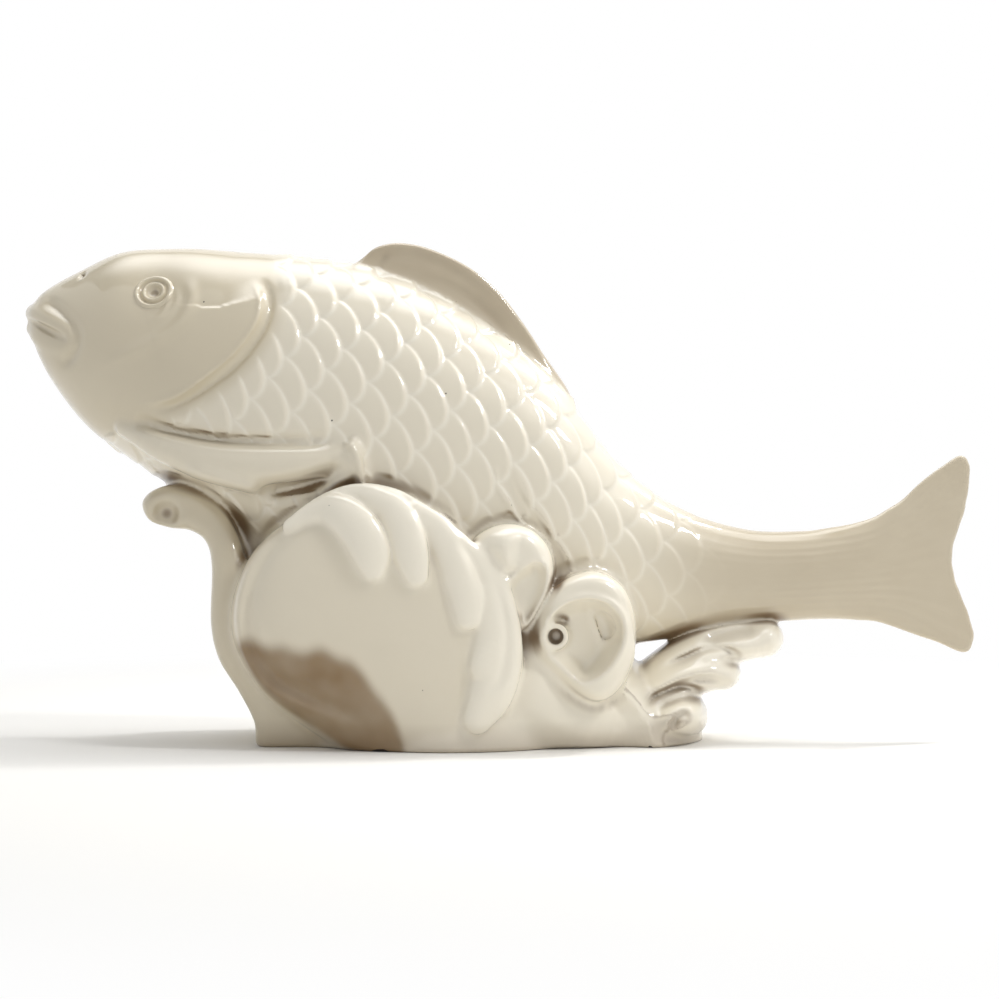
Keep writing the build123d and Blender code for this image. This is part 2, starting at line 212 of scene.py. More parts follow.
def tube(rows, x, out, z, flatten=1.0):
    # A finger of clay through rows of along, out, up and radius
    nearest = np.full(np.broadcast(x, out, z).shape, np.inf, np.float32)
    for a, b in zip(rows[:-1], rows[1:]):
        d = (b - a) * (1, flatten, 1, 1)
        px, py, pz = x - a[0], (out - a[1]) * flatten, z - a[2]
        t = np.clip((px * d[0] + py * d[1] + pz * d[2]) / (d[:3] @ d[:3] + 1e-9), 0, 1)
        gap = np.sqrt((px - t * d[0]) ** 2 + (py - t * d[1]) ** 2 + (pz - t * d[2]) ** 2)
        nearest = np.minimum(nearest, gap - (a[3] + t * d[3]))
    return nearest


def addTube(piece, rows, fillet, parts=5, flatten=1.0):
    line = smoothLine(rows, parts)
    reach = line[:, 3].max() + sculpt["reach"]
    box = [(line[:, 0].min() - reach, line[:, 0].max() + reach)]
    box += [(line[:, 1].min() - reach / flatten, line[:, 1].max() + reach / flatten)]
    box += [(line[:, 2].min() - reach, line[:, 2].max() + reach)]
    addClay(piece, lambda x, out, z: tube(line, x, out, z, flatten), box, fillet)


def slabBox(points, deepest):
    points = np.array(points)
    reach = sculpt["reach"]
    low, high = points.min(0) - reach, points.max(0) + reach
    return [(low[0], high[0]), (0, deepest + reach), (low[1], high[1])]


# Fish: stations from the lips to the tail's edge, as the back's place along and up, the
# belly's place along and up, and the breadth as a share of the flanks' breadth
fish = {
    "flankBreadth": 76.0,
    "snoutRound": 5.0,
    "tailRound": 2.0,
    "tailRootShare": 0.800,
    "leastSlope": 0.004,
    "flankShares": [(0.50, 0.84), (0.86, 0.47), (1.0, 0.0), (0.88, -0.50), (0.52, -0.86)],
    "stationShares": [
        (0.006, 0.878, 0.004, 0.815, 0.16),
        (0.027, 0.909, 0.028, 0.722, 0.36),
        (0.060, 0.943, 0.068, 0.625, 0.56),
        (0.104, 0.980, 0.122, 0.550, 0.74),
        (0.160, 0.988, 0.190, 0.464, 0.87),
        (0.230, 0.979, 0.268, 0.374, 0.97),
        (0.310, 0.965, 0.355, 0.287, 1.00),
        (0.395, 0.925, 0.435, 0.228, 0.98),
        (0.475, 0.845, 0.510, 0.196, 0.90),
        (0.555, 0.722, 0.580, 0.183, 0.77),
        (0.625, 0.555, 0.640, 0.192, 0.58),
        (0.690, 0.465, 0.700, 0.210, 0.44),
        (0.759, 0.423, 0.762, 0.232, 0.34),
        (0.817, 0.419, 0.817, 0.240, 0.29),
        (0.848, 0.426, 0.848, 0.242, 0.24),
        (0.876, 0.436, 0.876, 0.240, 0.19),
        (0.903, 0.456, 0.903, 0.234, 0.15),
        (0.935, 0.510, 0.935, 0.205, 0.10),
        (0.970, 0.590, 0.970, 0.150, 0.075),
        (1.010, 0.680, 1.010, 0.090, 0.070),
    ],
    "forkShares": [
        (0.790, 0.480), (0.870, 0.458), (0.916, 0.474), (0.941, 0.514), (0.966, 0.549),
        (0.987, 0.571), (0.996, 0.545), (0.991, 0.465), (0.978, 0.385), (0.980, 0.325),
        (0.994, 0.255), (1.000, 0.205), (0.990, 0.175), (0.955, 0.200), (0.905, 0.224),
        (0.860, 0.222), (0.790, 0.200),
    ],
    "forkCornerShares": [(0.70, 0.10), (0.70, 0.60)],
    "forkFromShare": 0.79,
}
stations = smoothLine(
    [
        (along(bx), up(bz), along(lx), up(lz), breadth * fish["flankBreadth"] / 2)
        for bx, bz, lx, lz, breadth in fish["stationShares"]
    ],
    10,
)
flank = fish["flankShares"]
ring = smoothLine([(0, 1)] + flank + [(0, -1)] + [(-b, d) for b, d in reversed(flank)], 8, closed=True)
ring = ring[:len(ring) // 2 + 1]  # one side of the section, from the back to the belly
ringTurn = np.arctan2(ring[:, 0], ring[:, 1])
ringReach = np.hypot(ring[:, 0], ring[:, 1])


def stationPlace(x, z):
    # Number of the station at a place in side view, and how far in front of the first it is
    x, z = np.broadcast_arrays(x, z)
    place = np.zeros(x.shape)
    for i, (backX, backZ, bellyX, bellyZ, half) in enumerate(stations):
        run, rise = backX - bellyX, backZ - bellyZ
        beyond = ((x - bellyX) * rise - (z - bellyZ) * run) / math.hypot(run, rise)
        if i == 0:
            front = -beyond
        else:
            crossed = (before >= 0) & (beyond < 0)
            place = np.where(crossed, i - 1 + before / np.where(crossed, before - beyond, 1), place)
        before = beyond
    return np.where(before >= 0, len(stations) - 1, place), front


def section(x, z):
    # Share of the way from the middle to the back, and the half breadth, at a place in side view
    place, front = stationPlace(x, z)
    backX, backZ, bellyX, bellyZ, half = (
        np.interp(place, np.arange(len(stations)), column) for column in stations.T
    )
    run, rise = (backX - bellyX) / 2, (backZ - bellyZ) / 2
    depth = ((x - bellyX - run) * run + (z - bellyZ - rise) * rise) / (run ** 2 + rise ** 2)
    return place, depth, half, front


headStrokes = [
    # share points, width, height, taper
    ([(0.245, 0.919), (0.256, 0.875), (0.253, 0.827), (0.232, 0.767), (0.202, 0.718),
      (0.167, 0.678), (0.122, 0.666)], 1.3, 0.9, 0.18),
    ([(0.254, 0.925), (0.265, 0.875), (0.261, 0.820), (0.240, 0.757), (0.209, 0.707),
      (0.171, 0.667), (0.135, 0.650)], 1.5, -1.4, 0.18),
    ([(0.178, 0.925), (0.184, 0.879), (0.176, 0.834), (0.155, 0.800), (0.120, 0.768),
      (0.082, 0.735)], 2.6, 1.1, 0.25),
    ([(0.157, 0.897), (0.160, 0.873), (0.154, 0.844), (0.138, 0.826)], 1.2, 0.5, 0.3),
    ([(0.167, 0.902), (0.169, 0.873), (0.161, 0.842), (0.144, 0.818)], 1.2, 0.5, 0.3),
    ([(0.020, 0.887), (0.037, 0.867), (0.054, 0.839), (0.064, 0.811), (0.063, 0.784),
      (0.054, 0.758), (0.036, 0.752)], 2.4, -1.8, 0.2),
    ([(0.062, 0.931), (0.066, 0.924)], 1.6, -1.8, 0.5),
]
cheek = {
    "gill": 2.4, "gillEdge": 2.5, "gillFade": 20.0, "gillTapers": (0.2, 0.3),
    "socket": -2.0, "socketShares": (0.143, 0.915), "socketSize": 12.5,
}


def headRelief(x, z):
    relief = strokeRelief(headStrokes, x, z)
    edge = smoothLine(sidePoints(headStrokes[0][0]), 6)
    away, place = strokeDistance(edge, x, z)
    away = -away
    first, last = cheek["gillTapers"]
    fade = smoothstep(place / first) * smoothstep((1 - place) / last)
    plate = smoothstep(0.5 + away / cheek["gillEdge"])
    plate *= np.exp(-(np.maximum(away, 0) / cheek["gillFade"]) ** 2)
    relief += cheek["gill"] * fade * plate
    ex, ez = sidePoints([cheek["socketShares"]])[0]
    relief += cheek["socket"] * np.exp(-((x - ex) ** 2 + (z - ez) ** 2) / cheek["socketSize"] ** 2)
    return relief


def fishShape(x, out, z):
    place, depth, half, front = section(x[:, :, 0], z[0, :, :])
    depth, half = depth[:, None, :], half[:, None, :]
    turn = np.arctan2(out / half, depth)
    reach = np.hypot(out / half, depth) / np.interp(turn, ringTurn, ringReach)
    slope = np.sqrt(sum(part ** 2 for part in np.gradient(reach, step)))
    skin = (reach - 1) / np.maximum(slope, fish["leastSlope"])
    skin = shared(skin, front[:, None, :], fish["snoutRound"])
    skin = skin - headRelief(x[:, :, 0], z[0, :, :])[:, None, :]
    fork = smoothLine(sidePoints(fish["forkShares"]), 6)
    corners = sidePoints(fish["forkCornerShares"])
    tail = rounded(skin, sideWall(np.vstack([fork, corners]), x, z), fish["tailRound"])
    return np.where(x > along(fish["forkFromShare"]), tail, skin)


endless = (-1e3, 1e3)
addClay("fish_body", fishShape, [endless] * 3, 1.0)
here = window([(along(fish["tailRootShare"]), endless[1]), endless, endless])[0]
owner[here] = pieceOrder.index("tail_fin")
print("fish sculpted")

lips = {
    "upper": [(0.0100, 0.0, 0.856, 4.0), (0.018, 6.2, 0.852, 3.8), (0.031, 10.8, 0.840, 3.7),
              (0.046, 14.4, 0.824, 3.4), (0.058, 16.8, 0.806, 2.8), (0.061, 17.2, 0.794, 2.2)],
    "lower": [(0.0105, 0.0, 0.826, 3.8), (0.020, 6.2, 0.806, 3.6), (0.034, 10.6, 0.790, 3.5),
              (0.048, 14.4, 0.782, 3.3), (0.059, 17.0, 0.790, 2.4)],
    "slit": [(0.002, 4.0, 0.842, 0.3), (0.012, 8.6, 0.835, 1.0), (0.026, 13.0, 0.822, 1.5),
             (0.038, 16.4, 0.810, 1.6), (0.048, 19.0, 0.801, 1.1)],
    "slitBox": [(along(-0.02), along(0.06)), (0, 22), (up(0.76), up(0.88))],
    "fillet": 1.6, "slitFillet": 1.5,
}
for side in ("upper", "lower"):
    addTube("fish_body", tubeRows(lips[side]), lips["fillet"])
slit = smoothLine(tubeRows(lips["slit"]), 5)
cutClay(lambda x, out, z: tube(slit, x, out, z), lips["slitBox"], lips["slitFillet"])

# Eyes are low rings that follow the head: radius, and height above its skin
eye = {
    "placeShares": (0.1410, 0.908), "facing": (-0.15, 1.0, 0.50), "turns": 72,
    "pocket": 6.3, "pocketDepth": 3.0, "pocketBox": 12, "fillet": 0.5,
    "startOut": 30.0, "startLift": 6, "rounds": 14,  # where and how often the skin is felt for
    "profile": [
        (9.2, -0.9), (8.4, -0.1), (7.7, 0.7), (7.1, 0.95), (6.5, 0.6), (6.0, -0.1), (5.5, -0.4),
        (5.0, 0.1), (4.4, 0.8), (3.8, 0.8), (3.2, 0.2), (2.5, -0.7), (1.4, -1.2), (0.0, -1.4),
    ],
}
eyeFacing = np.array(eye["facing"]) / np.linalg.norm(eye["facing"])


def ontoSkin(points):
    # Moves points along the eye's facing until they meet the sculpted skin
    for turn in range(eye["rounds"]):
        points = points - eyeFacing * sample(field, (points - (xs[0], 0, zs[0])) / step)[:, None]
    return points


eyeX, eyeZ = sidePoints([eye["placeShares"]])[0]
eyeSeat = ontoSkin(np.array([[eyeX, eye["startOut"], eyeZ]]))[0]
eyeAcross = np.cross(eyeFacing, (0, 0, 1)) / np.linalg.norm(np.cross(eyeFacing, (0, 0, 1)))
eyeUp = np.cross(eyeAcross, eyeFacing)
eyeProfile = smoothLine(eye["profile"], 5)
eyeTurns = np.arange(eye["turns"]) * 2 * math.pi / eye["turns"]
spokes = np.cos(eyeTurns)[:, None] * eyeAcross + np.sin(eyeTurns)[:, None] * eyeUp
eyeStart = eyeSeat + eyeFacing * eye["startLift"]
eyeSkin = [eyeStart + spokes * max(radius, 0.01) for radius, height in eyeProfile]
eyePoints = ontoSkin(np.vstack(eyeSkin)) + np.repeat(eyeProfile[:, 1], eye["turns"])[:, None] * eyeFacing


def eyePocket(x, out, z):
    px, py, pz = x - eyeSeat[0], out - eyeSeat[1], z - eyeSeat[2]
    height = px * eyeFacing[0] + py * eyeFacing[1] + pz * eyeFacing[2]
    away = np.sqrt(np.maximum(px ** 2 + py ** 2 + pz ** 2 - height ** 2, 0))
    return np.maximum(away - eye["pocket"], -height - eye["pocketDepth"])


pocketBox = [(axis - eye["pocketBox"], axis + eye["pocketBox"]) for axis in eyeSeat]
cutClay(eyePocket, pocketBox, eye["fillet"])
print("lips and eyes sculpted")

dorsal = {
    "halfThickness": 3.0, "round": 2.0, "fillet": 6.0, "deepest": 12,
    "outlineShares": [
        (0.350, 0.940), (0.362, 0.978), (0.378, 0.994), (0.400, 0.997), (0.428, 0.985),
        (0.466, 0.951), (0.497, 0.904), (0.523, 0.842), (0.545, 0.778), (0.572, 0.690),
        (0.560, 0.640), (0.480, 0.760), (0.360, 0.860),
    ],
    "strokes": [
        ([(0.358, 0.962), (0.382, 0.973), (0.415, 0.968), (0.455, 0.935), (0.500, 0.868)], 2.6, -0.9, 0.3),
        ([(0.366, 0.940), (0.376, 0.962), (0.382, 0.985)], 1.8, -0.8, 0.4),
        ([(0.420, 0.930), (0.455, 0.905), (0.490, 0.850), (0.520, 0.780)], 2.2, -0.6, 0.3),
    ],
}


def dorsalShape(x, out, z):
    outline = smoothLine(sidePoints(dorsal["outlineShares"]), 6, closed=True)
    half = dorsal["halfThickness"] + strokeRelief(dorsal["strokes"], x[:, :, 0], z[0, :, :])
    return rounded(sideWall(outline, x, z), out - half[:, None, :], dorsal["round"])


dorsalBox = slabBox(sidePoints(dorsal["outlineShares"]), dorsal["deepest"])
addClay("dorsal_fin", dorsalShape, dorsalBox, dorsal["fillet"])

pectoral = {
    "fillet": 3.0,
    "rows": [(0.112, 19.0, 0.622, 3.0), (0.160, 26.0, 0.584, 7.0), (0.220, 31.0, 0.554, 9.0),
             (0.290, 33.0, 0.546, 9.8), (0.338, 33.0, 0.549, 9.4)],
    "strokes": [
        ([(0.122, 0.643), (0.142, 0.634), (0.166, 0.617), (0.197, 0.604), (0.237, 0.597),
          (0.298, 0.598), (0.344, 0.606)], 2.6, -1.5, 0.12),
        ([(0.245, 0.494), (0.288, 0.506), (0.323, 0.530), (0.349, 0.556)], 4.2, -5.0, 0.25),
        ([(0.346, 0.600), (0.356, 0.572), (0.361, 0.536), (0.364, 0.500), (0.368, 0.470)], 2.6, 4.2, 0.12),
        ([(0.175, 0.547), (0.202, 0.532), (0.241, 0.505), (0.287, 0.466)], 3.0, 2.2, 0.3),
        ([(0.268, 0.488), (0.292, 0.490), (0.316, 0.496)], 1.6, 1.2, 0.4),
    ],
}
addTube("pectoral_fin", tubeRows(pectoral["rows"]), pectoral["fillet"])
carve(pectoral["strokes"], [(along(0.08), along(0.42)), (8, 60), (up(0.42), up(0.70))])
print("fins sculpted")

# Base: heights, then the length, breadth and middle of its plan at each
base = {
    "breadth": 103.0, "topShare": 0.52, "fillet": 7.0, "footRound": 2.0, "leastSlope": 0.002,
    "vent": 8.0, "ventShare": 0.40, "ventTop": 12, "ventFillet": 2.0,
    "planShares": [
        (-0.231, 0.0), (-0.218, 0.24), (-0.180, 0.50), (-0.123, 0.80), (-0.060, 1.0),
        (-0.010, 1.0), (0.040, 0.88), (0.080, 0.66), (0.115, 0.50), (0.150, 0.56),
        (0.182, 0.64), (0.215, 0.40), (0.236, 0.0),
    ],
    "levelShares": [
        (0.0, 1.0, 1.0, 0.480), (0.05, 0.965, 0.97, 0.476), (0.12, 0.87, 0.92, 0.465),
        (0.22, 0.71, 0.84, 0.440), (0.36, 0.62, 0.70, 0.405), (0.50, 0.42, 0.48, 0.345),
        (0.60, 0.20, 0.20, 0.33),
    ],
    # The swell of clay between the great wave and the large scroll
    "swell": [(0.500, 26.0, 0.15, 15.0), (0.530, 29.0, 0.10, 15.5), (0.570, 27.0, 0.055, 14.5),
              (0.620, 20.0, 0.035, 12.0), (0.660, 12.0, 0.030, 10.0)],
    # The web that closes the gap behind the front curl
    "web": [(0.222, 0.0, 0.26, 10.0), (0.238, 0.0, 0.36, 14.0), (0.262, 0.0, 0.43, 15.0),
            (0.300, 0.0, 0.47, 16.0)],
    # The clay between the great wave and the scrolls
    "rise": [(0.514, 20.0, 0.32, 12.0), (0.524, 27.0, 0.23, 13.0), (0.532, 28.0, 0.14, 14.5)],
}


def baseShape(x, out, z):
    plan = [(a * figure["length"], b * base["breadth"] / 2) for a, b in base["planShares"]]
    plan = smoothLine(plan + [(a, -b) for a, b in plan[-2:0:-1]], 8, closed=True)
    turn = np.arctan2(plan[:, 1], plan[:, 0])
    order = np.argsort(turn)
    levels = smoothLine(base["levelShares"], 8)
    height = z[0, 0] / figure["height"]
    longer, broader, middle = (np.interp(height, levels[:, 0], levels[:, k]) for k in (1, 2, 3))
    px, py = (x - along(middle)) / longer, out / broader
    reach = np.hypot(px, py)
    edge = np.interp(np.arctan2(py, px), turn[order], np.hypot(*plan[order].T), period=2 * math.pi)
    slope = np.sqrt(sum(part ** 2 for part in np.gradient(reach / edge, step)))
    return np.maximum((reach / edge - 1) / np.maximum(slope, base["leastSlope"]), z - up(base["topShare"]))


addClay("wave_base", baseShape, [(along(0.2), along(0.78)), (0, 60), (-5, up(0.56))], base["fillet"])
for part in ("swell", "web", "rise"):
    addTube("wave_base", tubeRows(base[part]), base["fillet"])
print("base sculpted")

curl = {
    "breadth": 62.0, "round": 6.0, "fillet": 3.0, "deepest": 36,
    "outlineShares": [
        (0.258, -0.020), (0.248, 0.050), (0.232, 0.110), (0.213, 0.170), (0.204, 0.240),
        (0.204, 0.350), (0.197, 0.400), (0.180, 0.422), (0.158, 0.427), (0.138, 0.442), (0.130, 0.475),
        (0.141, 0.501), (0.166, 0.513), (0.192, 0.500), (0.214, 0.468), (0.230, 0.410), (0.246, 0.320),
        (0.270, 0.180), (0.310, 0.060), (0.330, -0.020),
    ],
    # Half breadth by height
    "frontShares": [(-0.1, 0.95), (0.18, 1.1), (0.36, 0.95), (0.47, 0.76), (0.54, 0.66)],
    # The dimple that the curl winds round
    "dimpleShares": (0.156, 0.455), "dimpleOut": 24.5, "dimple": 5.5, "dimpleFillet": 3.5,
    "dimpleShadeSize": 3.4,
}


def curlShape(x, out, z):
    outline = smoothLine(sidePoints(curl["outlineShares"]), 6, closed=True)
    heights, breadths = zip(*curl["frontShares"])
    half = np.interp(z / figure["height"], heights, breadths) * curl["breadth"] / 2
    return rounded(sideWall(outline, x, z), out - half, curl["round"])


def curlDimple(x, out, z):
    cx, cz = sidePoints([curl["dimpleShares"]])[0]
    return np.sqrt((x - cx) ** 2 + (out - curl["dimpleOut"]) ** 2 + (z - cz) ** 2) - curl["dimple"]


addClay("front_curl", curlShape, slabBox(sidePoints(curl["outlineShares"]), curl["deepest"]), curl["fillet"])
dimpleBox = [(along(0.11), along(0.2)), (10, 40), (up(0.40), up(0.52))]
cutClay(curlDimple, dimpleBox, curl["dimpleFillet"])

wave = {
    "centreShares": (0.376, 0.240), "radius": 57.0, "seat": 26.0, "swell": 27.0, "round": 6.0,
    "fillet": 3.5, "deepest": 58,
    # Reach of the rim at equal steps of turn, from the tail side over the top
    "rimShares": (0.99, 0.90, 0.92, 0.98, 0.96, 1.03, 1.05, 0.96, 0.90, 1.05, 1.40, 1.12),
    "rimSwell": 0.46, "slope": 11.0,  # share of the swell at the rim, and how fast it rises inwards
    # The thin roll round the front, and the shallow channel inside it
    "strokes": [
        ([(0.372, 0.500), (0.330, 0.482), (0.300, 0.460), (0.272, 0.420), (0.250, 0.370),
          (0.238, 0.310), (0.236, 0.250), (0.242, 0.190), (0.260, 0.135), (0.290, 0.098),
          (0.330, 0.066), (0.372, 0.030)], 3.4, 3.0, 0.2),
        ([(0.324, 0.440), (0.302, 0.436), (0.280, 0.408), (0.262, 0.362), (0.251, 0.305),
          (0.249, 0.250), (0.254, 0.200), (0.270, 0.154), (0.298, 0.114), (0.338, 0.080),
          (0.378, 0.050)], 3.4, -1.7, 0.3),
    ],
}


def waveRim():
    cx, cz = sidePoints([wave["centreShares"]])[0]
    turns = np.arange(len(wave["rimShares"])) * 2 * math.pi / len(wave["rimShares"])
    reach = np.array(wave["rimShares"]) * wave["radius"]
    return smoothLine(np.stack([cx + reach * np.cos(turns), cz + reach * np.sin(turns)], 1), 8, closed=True)


def waveOut(x, z):
    # How far out the great wave's face stands
    inwards = np.maximum(-outlineDistance(waveRim(), x, z), 0)
    swell = wave["swell"] * (1 - (1 - wave["rimSwell"]) * np.exp(-inwards / wave["slope"]))
    return wave["seat"] + swell + strokeRelief(wave["strokes"], x, z)


def waveShape(x, out, z):
    face = waveOut(x[:, :, 0], z[0, :, :])[:, None, :]
    return rounded(sideWall(waveRim(), x, z), out - face, wave["round"])


addClay("great_wave", waveShape, slabBox(waveRim(), wave["deepest"]), wave["fillet"])

# The foam is a roll along the swell's top and rear, with lobes that hang from it
foam = {
    "fillet": 1.3, "flatten": 1.9,
    # Lift off the wave, then along, up and half breadth from the rim to the tip
    "lobes": [
        (0.3, [(0.302, 0.446, 3.5), (0.333, 0.460, 7.2), (0.357, 0.430, 8.4), (0.371, 0.384, 8.0),
               (0.374, 0.350, 5.0)]),
        (0.8, [(0.372, 0.480, 6.0), (0.392, 0.460, 7.0), (0.405, 0.424, 7.6), (0.412, 0.376, 7.0),
               (0.417, 0.338, 4.8)]),
        (1.2, [(0.414, 0.450, 6.0), (0.437, 0.418, 7.0), (0.455, 0.366, 7.8), (0.466, 0.304, 7.4),
               (0.469, 0.258, 5.2)]),
        (2.2, [(0.455, 0.395, 6.0), (0.478, 0.345, 7.2), (0.494, 0.288, 8.4), (0.496, 0.222, 8.8),
               (0.486, 0.164, 6.6)]),
        (2.6, [(0.488, 0.300, 6.0), (0.500, 0.240, 8.2), (0.499, 0.170, 9.4), (0.491, 0.110, 8.8),
               (0.478, 0.064, 6.0)]),
        # The roll along the rim
        (0.3, [(0.290, 0.430, 3.5), (0.312, 0.456, 4.6), (0.333, 0.475, 5.4), (0.356, 0.485, 6.0),
               (0.380, 0.482, 6.0), (0.404, 0.465, 6.0), (0.444, 0.412, 6.2), (0.477, 0.340, 6.8),
               (0.500, 0.250, 7.2), (0.506, 0.190, 7.2), (0.505, 0.130, 6.6), (0.499, 0.085, 5.0)]),
    ],
    # Grooves that part the rear lobes
    "strokes": [
        ([(0.452, 0.415), (0.467, 0.380), (0.477, 0.335), (0.480, 0.300)], 2.0, -1.1, 0.35),
        ([(0.490, 0.352), (0.503, 0.275), (0.507, 0.205), (0.500, 0.140), (0.482, 0.118)], 1.8, -1.6, 0.3),
    ],
}
for lift, lobe in foam["lobes"]:
    line = smoothLine([(along(x), up(z), radius) for x, z, radius in lobe], 5)
    proud = waveOut(line[:, 0], line[:, 1]) + lift
    rows = np.stack([line[:, 0], proud, line[:, 1], line[:, 2]], 1)
    addTube("foam_crest", rows, foam["fillet"], parts=1, flatten=foam["flatten"])
carve(foam["strokes"], [(along(0.42), along(0.54)), (30, 60), (0, up(0.50))])
print("great waves sculpted")

# Each scroll is a roll whose crest winds in round a dish, which is deepest behind
scrolls = {
    "large_scroll": {
        "reach": 46.5, "round": 6.0, "fillet": 5.0, "dish": 11.5, "edge": 7.5,
        "shallow": 0.45, "slant": (0.552, 0.612),
        "rimShares": [
            (0.582, 0.106), (0.600, 0.094), (0.618, 0.110), (0.631, 0.152), (0.638, 0.206), (0.636, 0.266),
            (0.625, 0.314), (0.602, 0.342), (0.576, 0.337), (0.555, 0.312), (0.541, 0.274), (0.533, 0.226),
            (0.540, 0.182), (0.560, 0.142),
        ],
        "dishShares": [
            (0.547, 0.246), (0.562, 0.279), (0.584, 0.293), (0.604, 0.287), (0.619, 0.262),
            (0.624, 0.226), (0.617, 0.186), (0.603, 0.150), (0.584, 0.132), (0.566, 0.156),
            (0.549, 0.190),
        ],
        "strokes": [
            ([(0.548, 0.190), (0.545, 0.222), (0.551, 0.258), (0.566, 0.285), (0.586, 0.297),
              (0.607, 0.290), (0.623, 0.263), (0.628, 0.226), (0.621, 0.184), (0.606, 0.146),
              (0.588, 0.126)], 1.6, 1.5, 0.2),
            ([(0.556, 0.244), (0.563, 0.250), (0.571, 0.238)], 1.8, -2.4, 0.4),
        ],
    },
    "small_scroll": {
        "reach": 47.5, "round": 7.0, "fillet": 2.5, "dish": 6.5, "edge": 5.0,
        "shallow": 0.7, "slant": (0.505, 0.545),
        "rimShares": [
            (0.472, 0.400), (0.488, 0.426), (0.510, 0.436), (0.533, 0.424), (0.549, 0.392),
            (0.555, 0.350), (0.551, 0.308), (0.540, 0.268), (0.524, 0.228), (0.505, 0.253),
            (0.490, 0.317), (0.476, 0.360),
        ],
        "dishShares": [
            (0.508, 0.322), (0.522, 0.349), (0.536, 0.364), (0.546, 0.352), (0.547, 0.322),
            (0.540, 0.284), (0.526, 0.240), (0.512, 0.262), (0.506, 0.295),
        ],
        "strokes": [
            ([(0.536, 0.370), (0.549, 0.352), (0.551, 0.320), (0.544, 0.282), (0.528, 0.236)], 1.5, 1.2, 0.2),
            ([(0.492, 0.372), (0.506, 0.386), (0.522, 0.384)], 7.0, 3.0, 0.5),
            ([(0.500, 0.334), (0.512, 0.342), (0.522, 0.356)], 1.8, -2.0, 0.4),
        ],
    },
}
scrollEase = 0.75  # less than 1 rolls the edge of the face over more broadly
scrollEye = {
    "centreShares": (0.556, 0.220), "ring": 4.0, "ringThick": 1.4, "proud": -0.2,
    "bore": 2.2, "depth": 6.0, "fillet": 3.0,
}


def scrollShape(scroll):
    def shape(x, out, z):
        x, z = x[:, :, 0], z[0, :, :]
        rim = smoothLine(sidePoints(scroll["rimShares"]), 6, closed=True)
        dish = smoothLine(sidePoints(scroll["dishShares"]), 6, closed=True)
        slope = np.clip(-outlineDistance(dish, x, z) / scroll["edge"], 0, 1)
        front, rear = (along(share) for share in scroll["slant"])
        deep = scroll["shallow"] + (1 - scroll["shallow"]) * ramp(x, front, rear)
        face = scroll["reach"] - scroll["dish"] * deep * slope * (2 - slope)
        face = face + strokeRelief(scroll["strokes"], x, z)
        edge = outlineDistance(rim, x, z)[:, None, :]
        return rounded(edge, (out - face[:, None, :]) * scrollEase, scroll["round"])
    return shape


for name, scroll in scrolls.items():
    box = slabBox(sidePoints(scroll["rimShares"]), scroll["reach"])
    addClay(name, scrollShape(scroll), box, scroll["fillet"])


def scrollEyeRing(x, out, z):
    cx, cz = sidePoints([scrollEye["centreShares"]])[0]
    face = scrolls["large_scroll"]["reach"] + scrollEye["proud"] - scrollEye["ringThick"]
    away = np.hypot(x - cx, z - cz) - scrollEye["ring"]
    return np.hypot(away, np.maximum(out - face, 0)) - scrollEye["ringThick"]


def scrollEyeBore(x, out, z):
    cx, cz = sidePoints([scrollEye["centreShares"]])[0]
    bottom = scrolls["large_scroll"]["reach"] - scrollEye["depth"] + scrollEye["bore"]
    return np.hypot(np.hypot(x - cx, z - cz), np.minimum(out - bottom, 0)) - scrollEye["bore"]


eyeBox = [(along(0.53), along(0.59)), (32, 58), (up(0.16), up(0.27))]
addClay("large_scroll", scrollEyeRing, eyeBox, scrollEye["fillet"])
cutClay(scrollEyeBore, eyeBox, scrollEye["fillet"])
print("scrolls sculpted")

# Each tongue of spray is broader than the one above it
spray = {
    "fillet": 2.2,
    "tongues": [
        # piece, breadth over thickness, rows of along, up and half thickness
        ("spray_lower", 3.3, [(0.630, 0.020, 7.5), (0.662, 0.044, 9.5), (0.688, 0.056, 10.5),
                              (0.697, 0.052, 9.0)]),
        ("spray_middle", 2.5, [(0.605, 0.010, 9.5), (0.645, 0.078, 9.5), (0.685, 0.122, 10.2),
                               (0.716, 0.140, 9.4), (0.735, 0.136, 7.6)]),
        ("spray_upper", 2.0, [(0.610, 0.050, 9.0), (0.655, 0.112, 9.0), (0.700, 0.170, 9.4),
                              (0.742, 0.196, 9.4), (0.779, 0.204, 8.2)]),
    ],
    "strokes": [
        ([(0.704, 0.192), (0.726, 0.208), (0.752, 0.219), (0.780, 0.218)], 3.2, -2.6, 0.3),
        ([(0.664, 0.146), (0.692, 0.169), (0.713, 0.186), (0.736, 0.186), (0.755, 0.170)], 1.6, -1.5, 0.25),
        ([(0.646, 0.068), (0.659, 0.094), (0.676, 0.109), (0.694, 0.114), (0.714, 0.106)], 1.6, -1.4, 0.25),
        ([(0.666, 0.104), (0.690, 0.124), (0.715, 0.130), (0.742, 0.118)], 1.8, -1.1, 0.3),
        ([(0.672, 0.030), (0.682, 0.058), (0.697, 0.070)], 2.0, -0.9, 0.3),
    ],
}
for name, broader, tongue in spray["tongues"]:
    rows = [(along(x), 0.0, up(z), half) for x, z, half in tongue]
    addTube(name, rows, spray["fillet"], flatten=1 / broader)
carve(spray["strokes"], [(along(0.64), along(0.83)), (6, 60), (0, up(0.26))])


# The flat foot, with the vent through the floor
def belowTable(x, out, z):
    return z + 0 * x + 0 * out


def vent(x, out, z):
    return np.maximum(np.hypot(x - along(base["ventShare"]), out) - base["vent"], z - base["ventTop"])


cutClay(belowTable, [endless, endless, (endless[0], 12)], base["footRound"])
cutClay(vent, [(along(0.34), along(0.46)), (0, 20), (-5, 20)], base["ventFillet"])
np.minimum(field, sculpt["reach"], out=field)
print("spray and foot cut")

